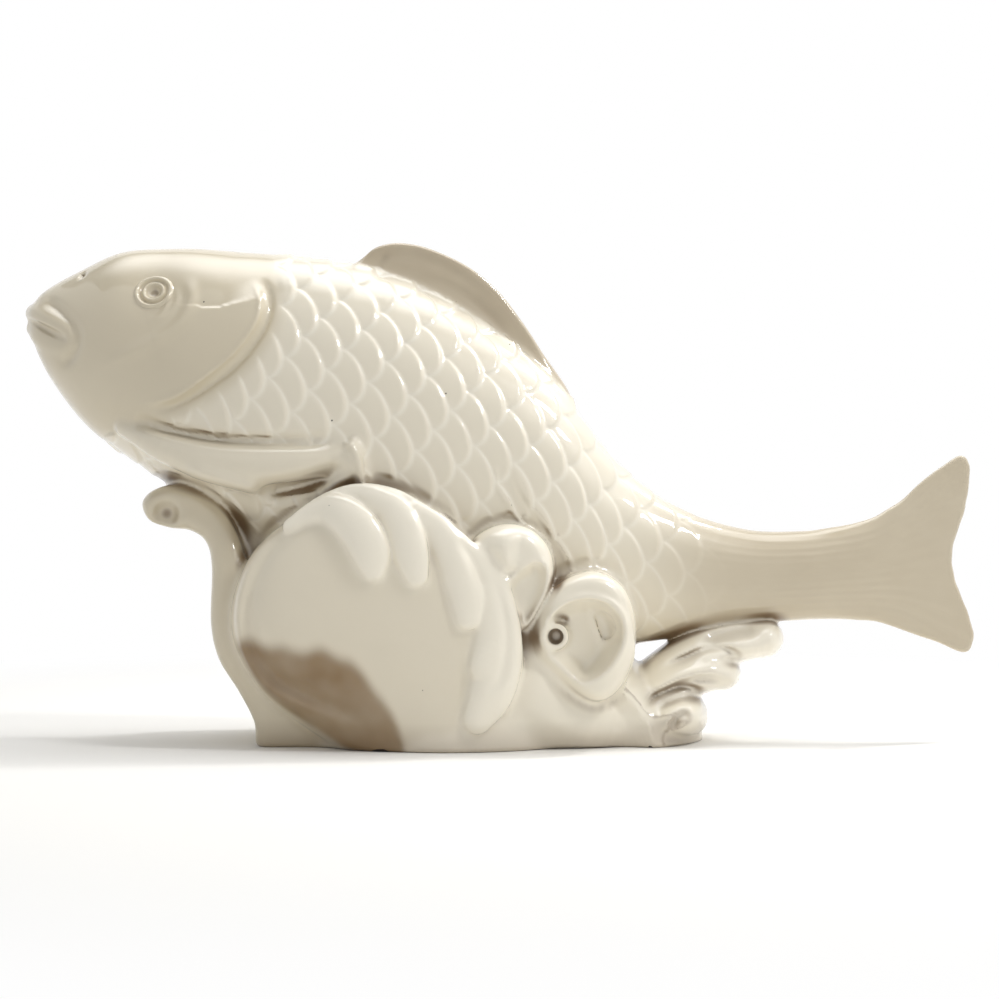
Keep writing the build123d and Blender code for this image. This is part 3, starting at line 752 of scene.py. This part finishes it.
# The whole field, with the far side mirrored from the near one
whole = np.concatenate([field[:, :0:-1], field], axis=1)
wholeOwner = np.concatenate([owner[:, :0:-1], owner], axis=1)
corner = np.array([xs[0], -outs[-1], zs[0]])


def skinNet(grid):
    # One point in each cell that the skin passes through, joined by squares
    inside = grid < 0
    cells = np.zeros(np.array(grid.shape) - 1, np.int8)
    corners = [(i, j, k) for i in (0, 1) for j in (0, 1) for k in (0, 1)]
    spans = [slice(0, -1), slice(1, None)]
    for i, j, k in corners:
        cells += inside[spans[i], spans[j], spans[k]]
    where = np.argwhere((cells > 0) & (cells < 8))
    number = np.full(cells.shape, -1, np.int32)
    number[tuple(where.T)] = np.arange(len(where))
    total, count = np.zeros((len(where), 3)), np.zeros(len(where))
    for a in corners:
        for axis in range(3):
            if a[axis]:
                continue
            b = tuple(1 if n == axis else a[n] for n in range(3))
            at, bt = (grid[tuple((where + c).T)].astype(float) for c in (a, b))
            crossed = (at < 0) != (bt < 0)
            t = np.where(crossed, at / np.where(crossed, at - bt, 1), 0)
            place = np.array(a) + t[:, None] * (np.array(b) - a)
            total += np.where(crossed[:, None], place, 0)
            count += crossed
    points = where + total / count[:, None]
    squares = []
    for axis in range(3):
        one, two = (axis + 1) % 3, (axis + 2) % 3
        ahead = [slice(None)] * 3
        ahead[axis] = slice(1, None)
        behind = [slice(None)] * 3
        behind[axis] = slice(0, -1)
        start, end = inside[tuple(behind)], inside[tuple(ahead)]
        edges = np.argwhere(start != end)
        edges = edges[(edges[:, one] > 0) & (edges[:, two] > 0)]
        edges = edges[(edges[:, one] < cells.shape[one]) & (edges[:, two] < cells.shape[two])]
        around = []
        for d1, d2 in ((1, 1), (0, 1), (0, 0), (1, 0)):
            shifted = edges.copy()
            shifted[:, one] -= d1
            shifted[:, two] -= d2
            around.append(number[tuple(shifted.T)])
        square = np.stack(around, 1)
        flip = ~start[tuple(edges.T)]
        square[flip] = square[flip][:, ::-1]
        squares.append(square)
    return points, np.vstack(squares)


def gradient(grid, places):
    half = 0.5
    return np.stack([sample(grid, places + half * e) - sample(grid, places - half * e) for e in np.eye(3)], 1)


def evened(values, squares, rounds):
    # Averages a value over its neighbours in the net
    ends = np.vstack([squares[:, [0, 1]], squares[:, [1, 2]], squares[:, [2, 3]], squares[:, [3, 0]]])
    count = np.bincount(ends.ravel(), minlength=len(values))
    for turn in range(rounds):
        total = np.bincount(ends[:, 0], values[ends[:, 1]], len(values))
        values = (total + np.bincount(ends[:, 1], values[ends[:, 0]], len(values))) / count
    return values


def relaxed(grid, points, squares):
    # Evens out the net and puts it back on the skin
    share = sculpt["evenShare"]
    for turn in range(sculpt["rounds"]):
        middles = np.stack([evened(points[:, k], squares, 1) for k in range(3)], 1)
        points = (1 - share) * points + share * middles
        slope = gradient(grid, points)
        square = np.maximum((slope ** 2).sum(1), sculpt["leastSquare"])
        points = points - (sample(grid, points) / square)[:, None] * slope
    return points


def normalsOf(points, squares):
    a, b, c, d = (points[squares[:, k]] for k in range(4))
    faces = np.cross(c - a, d - b)
    total = np.zeros(points.shape)
    for k in range(4):
        for n in range(3):
            total[:, n] += np.bincount(squares[:, k], faces[:, n], len(points))
    return total / np.maximum(np.linalg.norm(total, axis=1), 1e-9)[:, None]


points, squares = skinNet(whole)
points = relaxed(whole / step, points, squares)
normals = normalsOf(points, squares)
print("skin drawn:", len(points), "points,", len(squares), "squares")

places = points * step + corner
nearest = np.rint(points).astype(int)
vertexOwner = wholeOwner[tuple(nearest.T)]

scales = {
    "length": 17.6, "rows": 11.5, "reach": 9.0,  # spacing along and across, and each one's rear half
    "tilt": 0.10, "dome": 0.55, "drop": 6.0, "fillet": 0.40, "line": 0.50, "shift": 4.0,
    "gillShares": [(0.262, 0.960), (0.270, 0.875), (0.268, 0.820), (0.248, 0.755), (0.216, 0.700),
                   (0.175, 0.655), (0.130, 0.630)],
    "fadeShares": (0.60, 0.75), "gillFade": 4.0, "joint": 2.5,
    "probe": 6.0,  # how far out from the skin another piece is felt
    "lineGlaze": 0.7, "thickGlaze": 0.6,
}
tailRays = {"height": 0.09, "count": 6.5, "startShare": 0.66, "endShare": 0.84, "edge": 0.3}

middles = (stations[:, 0:2] + stations[:, 2:4]) / 2
middleRun = np.concatenate([[0], np.cumsum(np.hypot(*np.diff(middles, axis=0).T))])
turns = np.linspace(0, math.pi, 65)
turnReach = np.interp(turns, ringTurn, ringReach)
arcs = []
for backX, backZ, bellyX, bellyZ, half in stations:
    rise = math.hypot(backX - bellyX, backZ - bellyZ) / 2
    across, upwards = np.sin(turns) * turnReach * half, np.cos(turns) * turnReach * rise
    arc = np.concatenate([[0], np.cumsum(np.hypot(np.diff(across), np.diff(upwards)))])
    arcs.append(arc - arc[len(arc) // 2])
arcs = np.array(arcs)


def skinPlace(x, out, z):
    # Distances along the fish and round its flank from the side line, on its skin
    place, depth, half, front = section(x, z)
    turn = np.arctan2(out / half, depth) / math.pi * (len(turns) - 1)
    i = np.clip(place.astype(int), 0, len(stations) - 2)
    j = np.clip(turn.astype(int), 0, len(turns) - 2)
    p, t = place - i, turn - j
    near = arcs[i, j] * (1 - t) + arcs[i, j + 1] * t
    far = arcs[i + 1, j] * (1 - t) + arcs[i + 1, j + 1] * t
    return np.interp(place, np.arange(len(stations)), middleRun), near * (1 - p) + far * p, depth


def scaleRelief(run, arc):
    # Height of overlapped scales, each tipped up to its round rear edge, and the line behind it
    length, rows = scales["length"], scales["rows"]
    top = np.full(run.shape, -9.0)
    second = top.copy()
    row = np.floor(arc / rows)
    for dr in (-1, 0, 1, 2):
        shift = 0.5 * ((row + dr) % 2)
        column = np.floor((run - scales["shift"]) / length - shift)
        for dc in (-1, 0, 1):
            past = run - scales["shift"] - (column + dc + shift) * length
            beside = (arc - (row + dr) * rows) / rows
            edge = np.hypot(np.maximum(past, 0) / scales["reach"], beside)
            height = scales["tilt"] * past - scales["dome"] * beside ** 2
            height = height - scales["drop"] * np.maximum(edge - 1, 0)
            second = np.maximum(second, np.minimum(top, height))
            top = np.maximum(top, height)
    line = np.exp(-((top - second) / scales["line"]) ** 2)
    return -joined(-top, -second, scales["fillet"]), line


onFish = np.flatnonzero(vertexOwner < 2)
x, out, z = places[onFish, 0], np.abs(places[onFish, 1]), places[onFish, 2]
run, arc, depth = skinPlace(x, out, z)
height, line = scaleRelief(run, arc)
gillEdge = smoothLine(sidePoints(scales["gillShares"]), 6)
behindGill = strokeDistance(gillEdge, x, z)[0]
start, end = (along(share) for share in scales["fadeShares"])
fade = smoothstep(behindGill / scales["gillFade"]) * (1 - ramp(x, start, end))
clear = sample(whole, points[onFish] + normals[onFish] * scales["probe"] / step)
fade *= smoothstep((clear - scales["joint"]) / scales["joint"])
start, end = along(tailRays["startShare"]), along(tailRays["endShare"])
rays = tailRays["height"] * np.cos(2 * math.pi * tailRays["count"] * depth)
rays *= ramp(x, start, end) * smoothstep((1 - np.abs(depth)) / tailRays["edge"])
glazeLine = np.zeros(len(points))
glazeLine[onFish] = scales["lineGlaze"] * line * fade
places[onFish] += normals[onFish] * (height * fade + rays)[:, None]
normals = normalsOf(places, squares)
points = (places - corner) / step
print("scales raised")

# Painted dark reflection and painted shade on the lower face of the great waves, below a wavy edge
paintedShading = {
    "hollowReach": 8.0, "hollowMost": 1.5,  # how far out from the skin a hollow is felt
    "edgeShares": [(0.230, 0.205), (0.300, 0.202), (0.325, 0.190), (0.350, 0.170), (0.368, 0.144),
                   (0.382, 0.112), (0.393, 0.076), (0.401, 0.040), (0.406, 0.0)],
    "wave": 1.4, "soft": 7.0, "fromOut": 36, "outSoft": 8, "evenRounds": 3,
    # A little painted shade on the tail and the dorsal fin too
    "tail": 0.25, "tailFromShare": 0.62, "tailSoft": 60, "dorsal": 0.42,
}
# Painted shade: the deeper a hollow, the more its glaze is darkened towards brown
hollowReach = paintedShading["hollowReach"]
hollowShade = 1 - sample(whole, points + normals * hollowReach / step) / hollowReach
hollowShade = np.clip(hollowShade, 0, paintedShading["hollowMost"])
patchX, patchZ = np.array(sidePoints(paintedShading["edgeShares"])).T
wavy = paintedShading["wave"] * (np.sin(places[:, 0] * 0.17) + 0.6 * np.sin(places[:, 0] * 0.43 + 1.0))
below = np.interp(places[:, 0], patchX, patchZ, right=-9) + wavy - places[:, 2]
paintedShadeReflection = smoothstep(0.5 + below / paintedShading["soft"])
reflectionPieces = [pieceOrder.index("great_wave"), pieceOrder.index("wave_base")]
outwards = smoothstep((np.abs(places[:, 1]) - paintedShading["fromOut"]) / paintedShading["outSoft"])
paintedShadeReflection *= outwards * np.isin(vertexOwner, reflectionPieces)
towardsTail = smoothstep((x - along(paintedShading["tailFromShare"])) / paintedShading["tailSoft"])
paintedShadeReflection[onFish] += paintedShading["tail"] * towardsTail
paintedShadeReflection[vertexOwner == pieceOrder.index("dorsal_fin")] += paintedShading["dorsal"]
paintedShadeReflection = evened(paintedShadeReflection, squares, paintedShading["evenRounds"])
# Glaze is thicker and whiter on the crests, and the white also paints in the light that they catch
whiterAndLit = {
    "foam_crest": 1.0, "small_scroll": 0.9, "large_scroll": 0.85, "spray_upper": 1.0,
    "spray_middle": 1.0, "spray_lower": 0.9, "great_wave": 0.35, "wave_base": 0.85,
    "pectoral_fin": 0.45,
}
thick = np.array([whiterAndLit.get(name, 0.0) for name in pieceOrder])[vertexOwner]
thick[onFish] = scales["thickGlaze"] * fade
thick = evened(thick, squares, 8)
# Painted shade darkens the dimple of the front curl, as it does the hollows
cx, cz = sidePoints([curl["dimpleShares"]])[0]
dimpleShade = np.exp(-((places[:, 0] - cx) ** 2 + (places[:, 2] - cz) ** 2) / curl["dimpleShadeSize"] ** 2)
hollowShade = np.maximum(hollowShade, dimpleShade * (vertexOwner == pieceOrder.index("front_curl")))
glazeData = {"hollowShade": hollowShade, "glazeLine": glazeLine, "paintedShadeReflection": paintedShadeReflection, "thickGlaze": thick}


def addObject(name, data):
    made = bpy.data.objects.new(name, data)
    bpy.context.scene.collection.objects.link(made)
    return made


def glazeValue(mesh, label, values):
    # A value for each point, which the glaze reads
    mesh.attributes.new(label, "FLOAT", "POINT").data.foreach_set("value", values.astype(np.float32))


def bodyMesh(name, own):
    used, index = np.unique(squares[own], return_inverse=True)
    mesh = bpy.data.meshes.new(name)
    mesh.from_pydata((places[used] * 0.001).tolist(), [], index.reshape(-1, 4).tolist())
    mesh.shade_smooth()
    mesh.normals_split_custom_set_from_vertices(normals[used].tolist())
    for label, values in glazeData.items():
        glazeValue(mesh, label, values[used])
    return addObject(name + "_glazed", mesh)


def linear(code):
    # The linear colour of an sRGB hex code
    parts = [int(code[i:i + 2], 16) / 255 for i in (1, 3, 5)]
    return [p / 12.92 if p <= 0.04045 else ((p + 0.055) / 1.055) ** 2.4 for p in parts] + [1.0]


def addNode(tree, kind, settings=(), links=()):
    # Settings are socket or property values, and links are input: output
    node = tree.nodes.new(kind)
    for key, value in dict(settings).items():
        if isinstance(key, str) and hasattr(node, key):
            setattr(node, key, value)
        else:
            node.inputs[key].default_value = value
    for key, output in dict(links).items():
        tree.links.new(output, node.inputs[key])
    return node


def mapped(tree, value, start=0.0, end=1.0, low=0.0, high=1.0, smooth=False):
    # A value spread from one range over another
    settings = {"From Min": start, "From Max": end, "To Min": low, "To Max": high}
    if smooth:
        settings["interpolation_type"] = "SMOOTHSTEP"
    return addNode(tree, "ShaderNodeMapRange", settings, {"Value": value}).outputs["Result"]


def computed(tree, operation, a, b):
    return addNode(tree, "ShaderNodeMath", {"operation": operation}, {0: a, 1: b}).outputs[0]


# Cream tin glaze on earthenware, dipped: it is thin and tan on high places and creamy where it pools in
# lines; painted shade turns it brown in the deep hollows, and painted shade with a painted dark reflection
# turns it brown round the foot
glazeLook = {
    # Of these colours, run is a painted dark reflection with painted shade, deep is painted shade in the
    # hollows, the foot colour is painted shade with a painted dark reflection, and thick is partly a painted
    # highlight
    "body": "#DCD2BB", "thin": "#D2C6AC", "pooled": "#F7F1E2", "thick": "#F7F0DF", "run": "#80602A",
    "deep": "#6E5029", "foot": "#7E5E38", "pinhole": "#2A1C0F",
    "roughness": (0.30, 0.44), "coatRoughness": 0.03, "coatIor": 1.52,
    # Sizes of the patterns in millimetres
    "cloudSize": 70.0, "reflectionSize": 22.0, "rippleSize": 17.0, "chipSize": 18.0,
    "speckSpacing": 17.0, "speckSize": 0.7,
    # How strongly the painted dark reflection, the painted shade of the hollows and the painted shade round
    # the foot cover
    "reflectionCover": (0.60, 1.15), "shadeRange": (0.38, 1.15), "shadeCover": 0.85, "footCover": 0.4,
    # In metres, as the coordinates of the shader are
    "footHeight": 0.012, "chipHeight": (-0.001, 0.005), "rippleHeight": 0.0004,
    "chipNoise": (0.60, 0.76), "rippleStrength": 0.6,
}


def glazeMaterial():
    material = bpy.data.materials.new("creamGlazedEarthenware")
    material.use_nodes = True
    tree = material.node_tree
    shader = tree.nodes["Principled BSDF"]
    shader.inputs["Coat Roughness"].default_value = glazeLook["coatRoughness"]
    shader.inputs["Coat IOR"].default_value = glazeLook["coatIor"]
    place = addNode(tree, "ShaderNodeTexCoord").outputs["Object"]

    def noise(size, detail):
        settings = {"Scale": 1000 / glazeLook[size], "Detail": detail}
        return addNode(tree, "ShaderNodeTexNoise", settings, {"Vector": place}).outputs["Fac"]

    def reading(label):
        return addNode(tree, "ShaderNodeAttribute", {"attribute_name": label}).outputs["Fac"]

    def layer(under, over, mask):
        mix = addNode(tree, "ShaderNodeMix", {"data_type": "RGBA", 7: linear(over)}, {0: mask, 6: under})
        return mix.outputs[2]

    cloud = noise("cloudSize", 1.0)
    tones = {"data_type": "RGBA", 6: linear(glazeLook["body"]), 7: linear(glazeLook["thin"])}
    tone = addNode(tree, "ShaderNodeMix", tones, {0: cloud}).outputs[2]
    # Whiter where the glaze is thick, partly a painted highlight
    tone = layer(tone, glazeLook["thick"], reading("thickGlaze"))
    tone = layer(tone, glazeLook["pooled"], reading("glazeLine"))
    # Painted dark reflection and painted shade, tan-brown, in patches
    low, high = glazeLook["reflectionCover"]
    reflectionCover = mapped(tree, noise("reflectionSize", 2.0), low=low, high=high)
    tone = layer(tone, glazeLook["run"], computed(tree, "MULTIPLY", reading("paintedShadeReflection"), reflectionCover))
    # Painted shade: brown in the hollows
    start, end = glazeLook["shadeRange"]
    deep = mapped(tree, reading("hollowShade"), start, end, high=glazeLook["shadeCover"], smooth=True)
    tone = layer(tone, glazeLook["deep"], deep)
    height = addNode(tree, "ShaderNodeSeparateXYZ", {}, {"Vector": place}).outputs["Z"]
    # Painted shade and a painted dark reflection: darker towards the bottom, up to the foot height
    foot = mapped(tree, height, glazeLook["footHeight"], 0.0, high=glazeLook["footCover"])
    tone = layer(tone, glazeLook["foot"], foot)
    # Chips along the foot, where the dark clay shows
    chipTop = mapped(tree, noise("chipSize", 2.0), *glazeLook["chipNoise"], *glazeLook["chipHeight"])
    chips = computed(tree, "LESS_THAN", height, chipTop)
    tone = layer(tone, glazeLook["pinhole"], chips)
    tree.links.new(mapped(tree, chips, low=1.0, high=0.0), shader.inputs["Coat Weight"])
    spots = {"Scale": 1000 / glazeLook["speckSpacing"]}
    apart = addNode(tree, "ShaderNodeTexVoronoi", spots, {"Vector": place}).outputs["Distance"]
    speck = glazeLook["speckSize"] / 2 / glazeLook["speckSpacing"]
    pinholes = addNode(tree, "ShaderNodeMath", {"operation": "LESS_THAN", 1: speck}, {0: apart})
    tone = layer(tone, glazeLook["pinhole"], pinholes.outputs[0])
    tree.links.new(tone, shader.inputs["Base Color"])
    low, high = glazeLook["roughness"]
    tree.links.new(mapped(tree, cloud, low=low, high=high), shader.inputs["Roughness"])
    ripple = {"Strength": glazeLook["rippleStrength"], "Distance": glazeLook["rippleHeight"]}
    bump = addNode(tree, "ShaderNodeBump", ripple, {"Height": noise("rippleSize", 1.0)})
    tree.links.new(bump.outputs["Normal"], shader.inputs["Normal"])
    tree.links.new(bump.outputs["Normal"], shader.inputs["Coat Normal"])
    return material


glaze = glazeMaterial()

faceOwner = vertexOwner[squares[:, 0]]
faceSide = places[squares, 1].mean(1)
for k, name in enumerate(pieceOrder):
    sides = [("", faceOwner == k)]
    if name in pairedPieces:
        sides = [("left_", (faceOwner == k) & (faceSide < 0)), ("right_", (faceOwner == k) & (faceSide >= 0))]
    for side, own in sides:
        piece = bodyMesh(side + name, own)
        piece.data.materials.append(glaze)
        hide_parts(side + name)
        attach(piece, "root")
print("pieces cut")


# Painted shade darkens the groove round the ring and the pupil
eyeShade = {
    "groove": 0.5, "grooveRadius": 5.6, "grooveWidth": 0.5,
    "pupil": 0.8, "pupilRadius": 2.8, "pupilSoft": 1.6,
}


def eyeMesh(name, side):
    # Side is -1 for the left eye
    squares = []
    for row in range(len(eyeProfile) - 1):
        for k in range(eye["turns"]):
            a, b = row * eye["turns"] + k, row * eye["turns"] + (k + 1) % eye["turns"]
            square = (a, b, b + eye["turns"], a + eye["turns"])
            squares.append(square if side > 0 else square[::-1])
    mesh = bpy.data.meshes.new(name)
    mesh.from_pydata((eyePoints * (1, side, 1) * 0.001).tolist(), [], squares)
    mesh.shade_smooth()
    radius = eyeProfile[:, 0]
    groove = np.exp(-((radius - eyeShade["grooveRadius"]) / eyeShade["grooveWidth"]) ** 2)
    pupil = smoothstep((eyeShade["pupilRadius"] - radius) / eyeShade["pupilSoft"])
    # Painted shade in the groove and the pupil
    deep = eyeShade["groove"] * groove + eyeShade["pupil"] * pupil
    glazeValue(mesh, "hollowShade", np.repeat(deep, eye["turns"]))
    return addObject(name, mesh)


for side, facing in (("left", -1), ("right", 1)):
    piece = eyeMesh(side + "_eye_glazed", facing)
    piece.data.materials.append(glaze)
    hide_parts(side + "_eye")
    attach(piece, "root")
print("eyes turned")

camera = addObject("camera", bpy.data.cameras.new("camera"))
bpy.context.scene.camera = camera
camera.data.sensor_width = 36
camera.data.lens = 81.1
camera.location = (0, -0.95, 0.1013)
camera.rotation_euler = (math.radians(90), 0, 0)

# A white table under one broad overhead light, with two windows high on the right and the
# camera's side of the room a little dimmer, so that the glaze shades towards the viewer
studio = {
    "floorColour": "#F4F3F0", "floorRoughness": 0.9, "floorReach": 3.0, "shadowReach": (0.27, 0.55),
    # Strength of the sky overhead, at the horizon, and the share of it behind the camera
    "skyTop": 0.70, "skyLow": 0.50, "cameraSide": 0.62, "lampAim": (0, 0, 0.1),
    # The softbox is brightest in the middle
    "softboxHalf": (0.75, 0.45), "softboxPlace": (-0.05, 0.10, 0.95), "softboxStrength": 3.9,
    # name, watts, size, place
    "lamps": [
        ("highWindow", 3.6, (0.10, 0.22), (0.56, 0.27, 0.88)),
        ("frontWindow", 2.6, (0.10, 0.20), (0.62, -0.30, 0.80)),
    ],
}


def seenRay(tree):
    # 1 for what the camera sees straight, in a gloss or through glass
    rays = addNode(tree, "ShaderNodeLightPath").outputs
    straight = computed(tree, "MAXIMUM", rays["Is Camera Ray"], rays["Is Glossy Ray"])
    return computed(tree, "MAXIMUM", straight, rays["Is Transmission Ray"])


def sheetMesh(name, halfX, halfY, order):
    # A flat sheet; the order of its corners turns it up or down
    mesh = bpy.data.meshes.new(name)
    corners = [(-halfX, -halfY, 0), (halfX, -halfY, 0), (halfX, halfY, 0), (-halfX, halfY, 0)]
    mesh.from_pydata(corners, [], [order])
    return mesh


reach = studio["floorReach"]
floor = addObject("floor", sheetMesh("floor", reach, reach, (0, 1, 2, 3)))
# Matt white paint, rolled on: it holds the soft shadow, and away from that it is plain white
floorPaint = bpy.data.materials.new("paleFloorPaint")
floorPaint.use_nodes = True
tree = floorPaint.node_tree
paint = tree.nodes["Principled BSDF"]
paint.inputs["Base Color"].default_value = linear(studio["floorColour"])
paint.inputs["Roughness"].default_value = studio["floorRoughness"]
place = addNode(tree, "ShaderNodeTexCoord")
away = addNode(tree, "ShaderNodeVectorMath", {"operation": "LENGTH"}, {0: place.outputs["Object"]})
white = mapped(tree, away.outputs["Value"], *studio["shadowReach"], smooth=True)
cover = computed(tree, "MULTIPLY", white, seenRay(tree))
glow = addNode(tree, "ShaderNodeEmission", {"Color": (1, 1, 1, 1), "Strength": 1.0})
coats = {0: cover, 1: paint.outputs["BSDF"], 2: glow.outputs["Emission"]}
blend = addNode(tree, "ShaderNodeMixShader", {}, coats)
tree.links.new(blend.outputs["Shader"], tree.nodes["Material Output"].inputs["Surface"])
floor.data.materials.append(floorPaint)

halfX, halfY = studio["softboxHalf"]
softbox = addObject("softbox", sheetMesh("softbox", halfX, halfY, (0, 3, 2, 1)))
softbox.location = studio["softboxPlace"]
# White cloth lit from behind: it fades towards its edge, which the glaze mirrors as a soft glow
cloth = bpy.data.materials.new("softboxCloth")
cloth.use_nodes = True
tree = cloth.node_tree
place = addNode(tree, "ShaderNodeTexCoord")
sizes = {"operation": "DIVIDE", 1: (halfX, halfY, 1)}
inner = addNode(tree, "ShaderNodeVectorMath", sizes, {0: place.outputs["Object"]})
fromMiddle = addNode(tree, "ShaderNodeVectorMath", {"operation": "LENGTH"}, {0: inner.outputs["Vector"]})
bright = mapped(tree, fromMiddle.outputs["Value"], 1.0, 0.2, high=studio["softboxStrength"], smooth=True)
glow = addNode(tree, "ShaderNodeEmission", {"Color": (1, 1, 1, 1)}, {"Strength": bright})
tree.links.new(glow.outputs["Emission"], tree.nodes["Material Output"].inputs["Surface"])
softbox.data.materials.append(cloth)

world = bpy.data.worlds.new("studio")
bpy.context.scene.world = world
world.use_nodes = True
tree = world.node_tree
place = addNode(tree, "ShaderNodeTexCoord")
way = addNode(tree, "ShaderNodeSeparateXYZ", {}, {"Vector": place.outputs["Generated"]}).outputs
sky = mapped(tree, way["Z"], 0.0, 0.8, studio["skyLow"], studio["skyTop"], smooth=True)
dim = mapped(tree, way["Y"], -0.8, 0.2, studio["cameraSide"], smooth=True)
room = computed(tree, "MULTIPLY", sky, dim)
strength = addNode(tree, "ShaderNodeMapRange", {"To Max": 1.0}, {"Value": seenRay(tree), "To Min": room})
background = tree.nodes["Background"]
background.inputs["Color"].default_value = (1, 1, 1, 1)
tree.links.new(strength.outputs["Result"], background.inputs["Strength"])

for name, watts, size, place in studio["lamps"]:
    lamp = bpy.data.lights.new(name, "AREA")
    lamp.shape = "RECTANGLE"
    lamp.size, lamp.size_y = size
    lamp.energy = watts
    light = addObject(name, lamp)
    light.location = place
    light.rotation_euler = (Vector(place) - Vector(studio["lampAim"])).to_track_quat("Z", "Y").to_euler()
bpy.context.scene.view_settings.view_transform = "Standard"
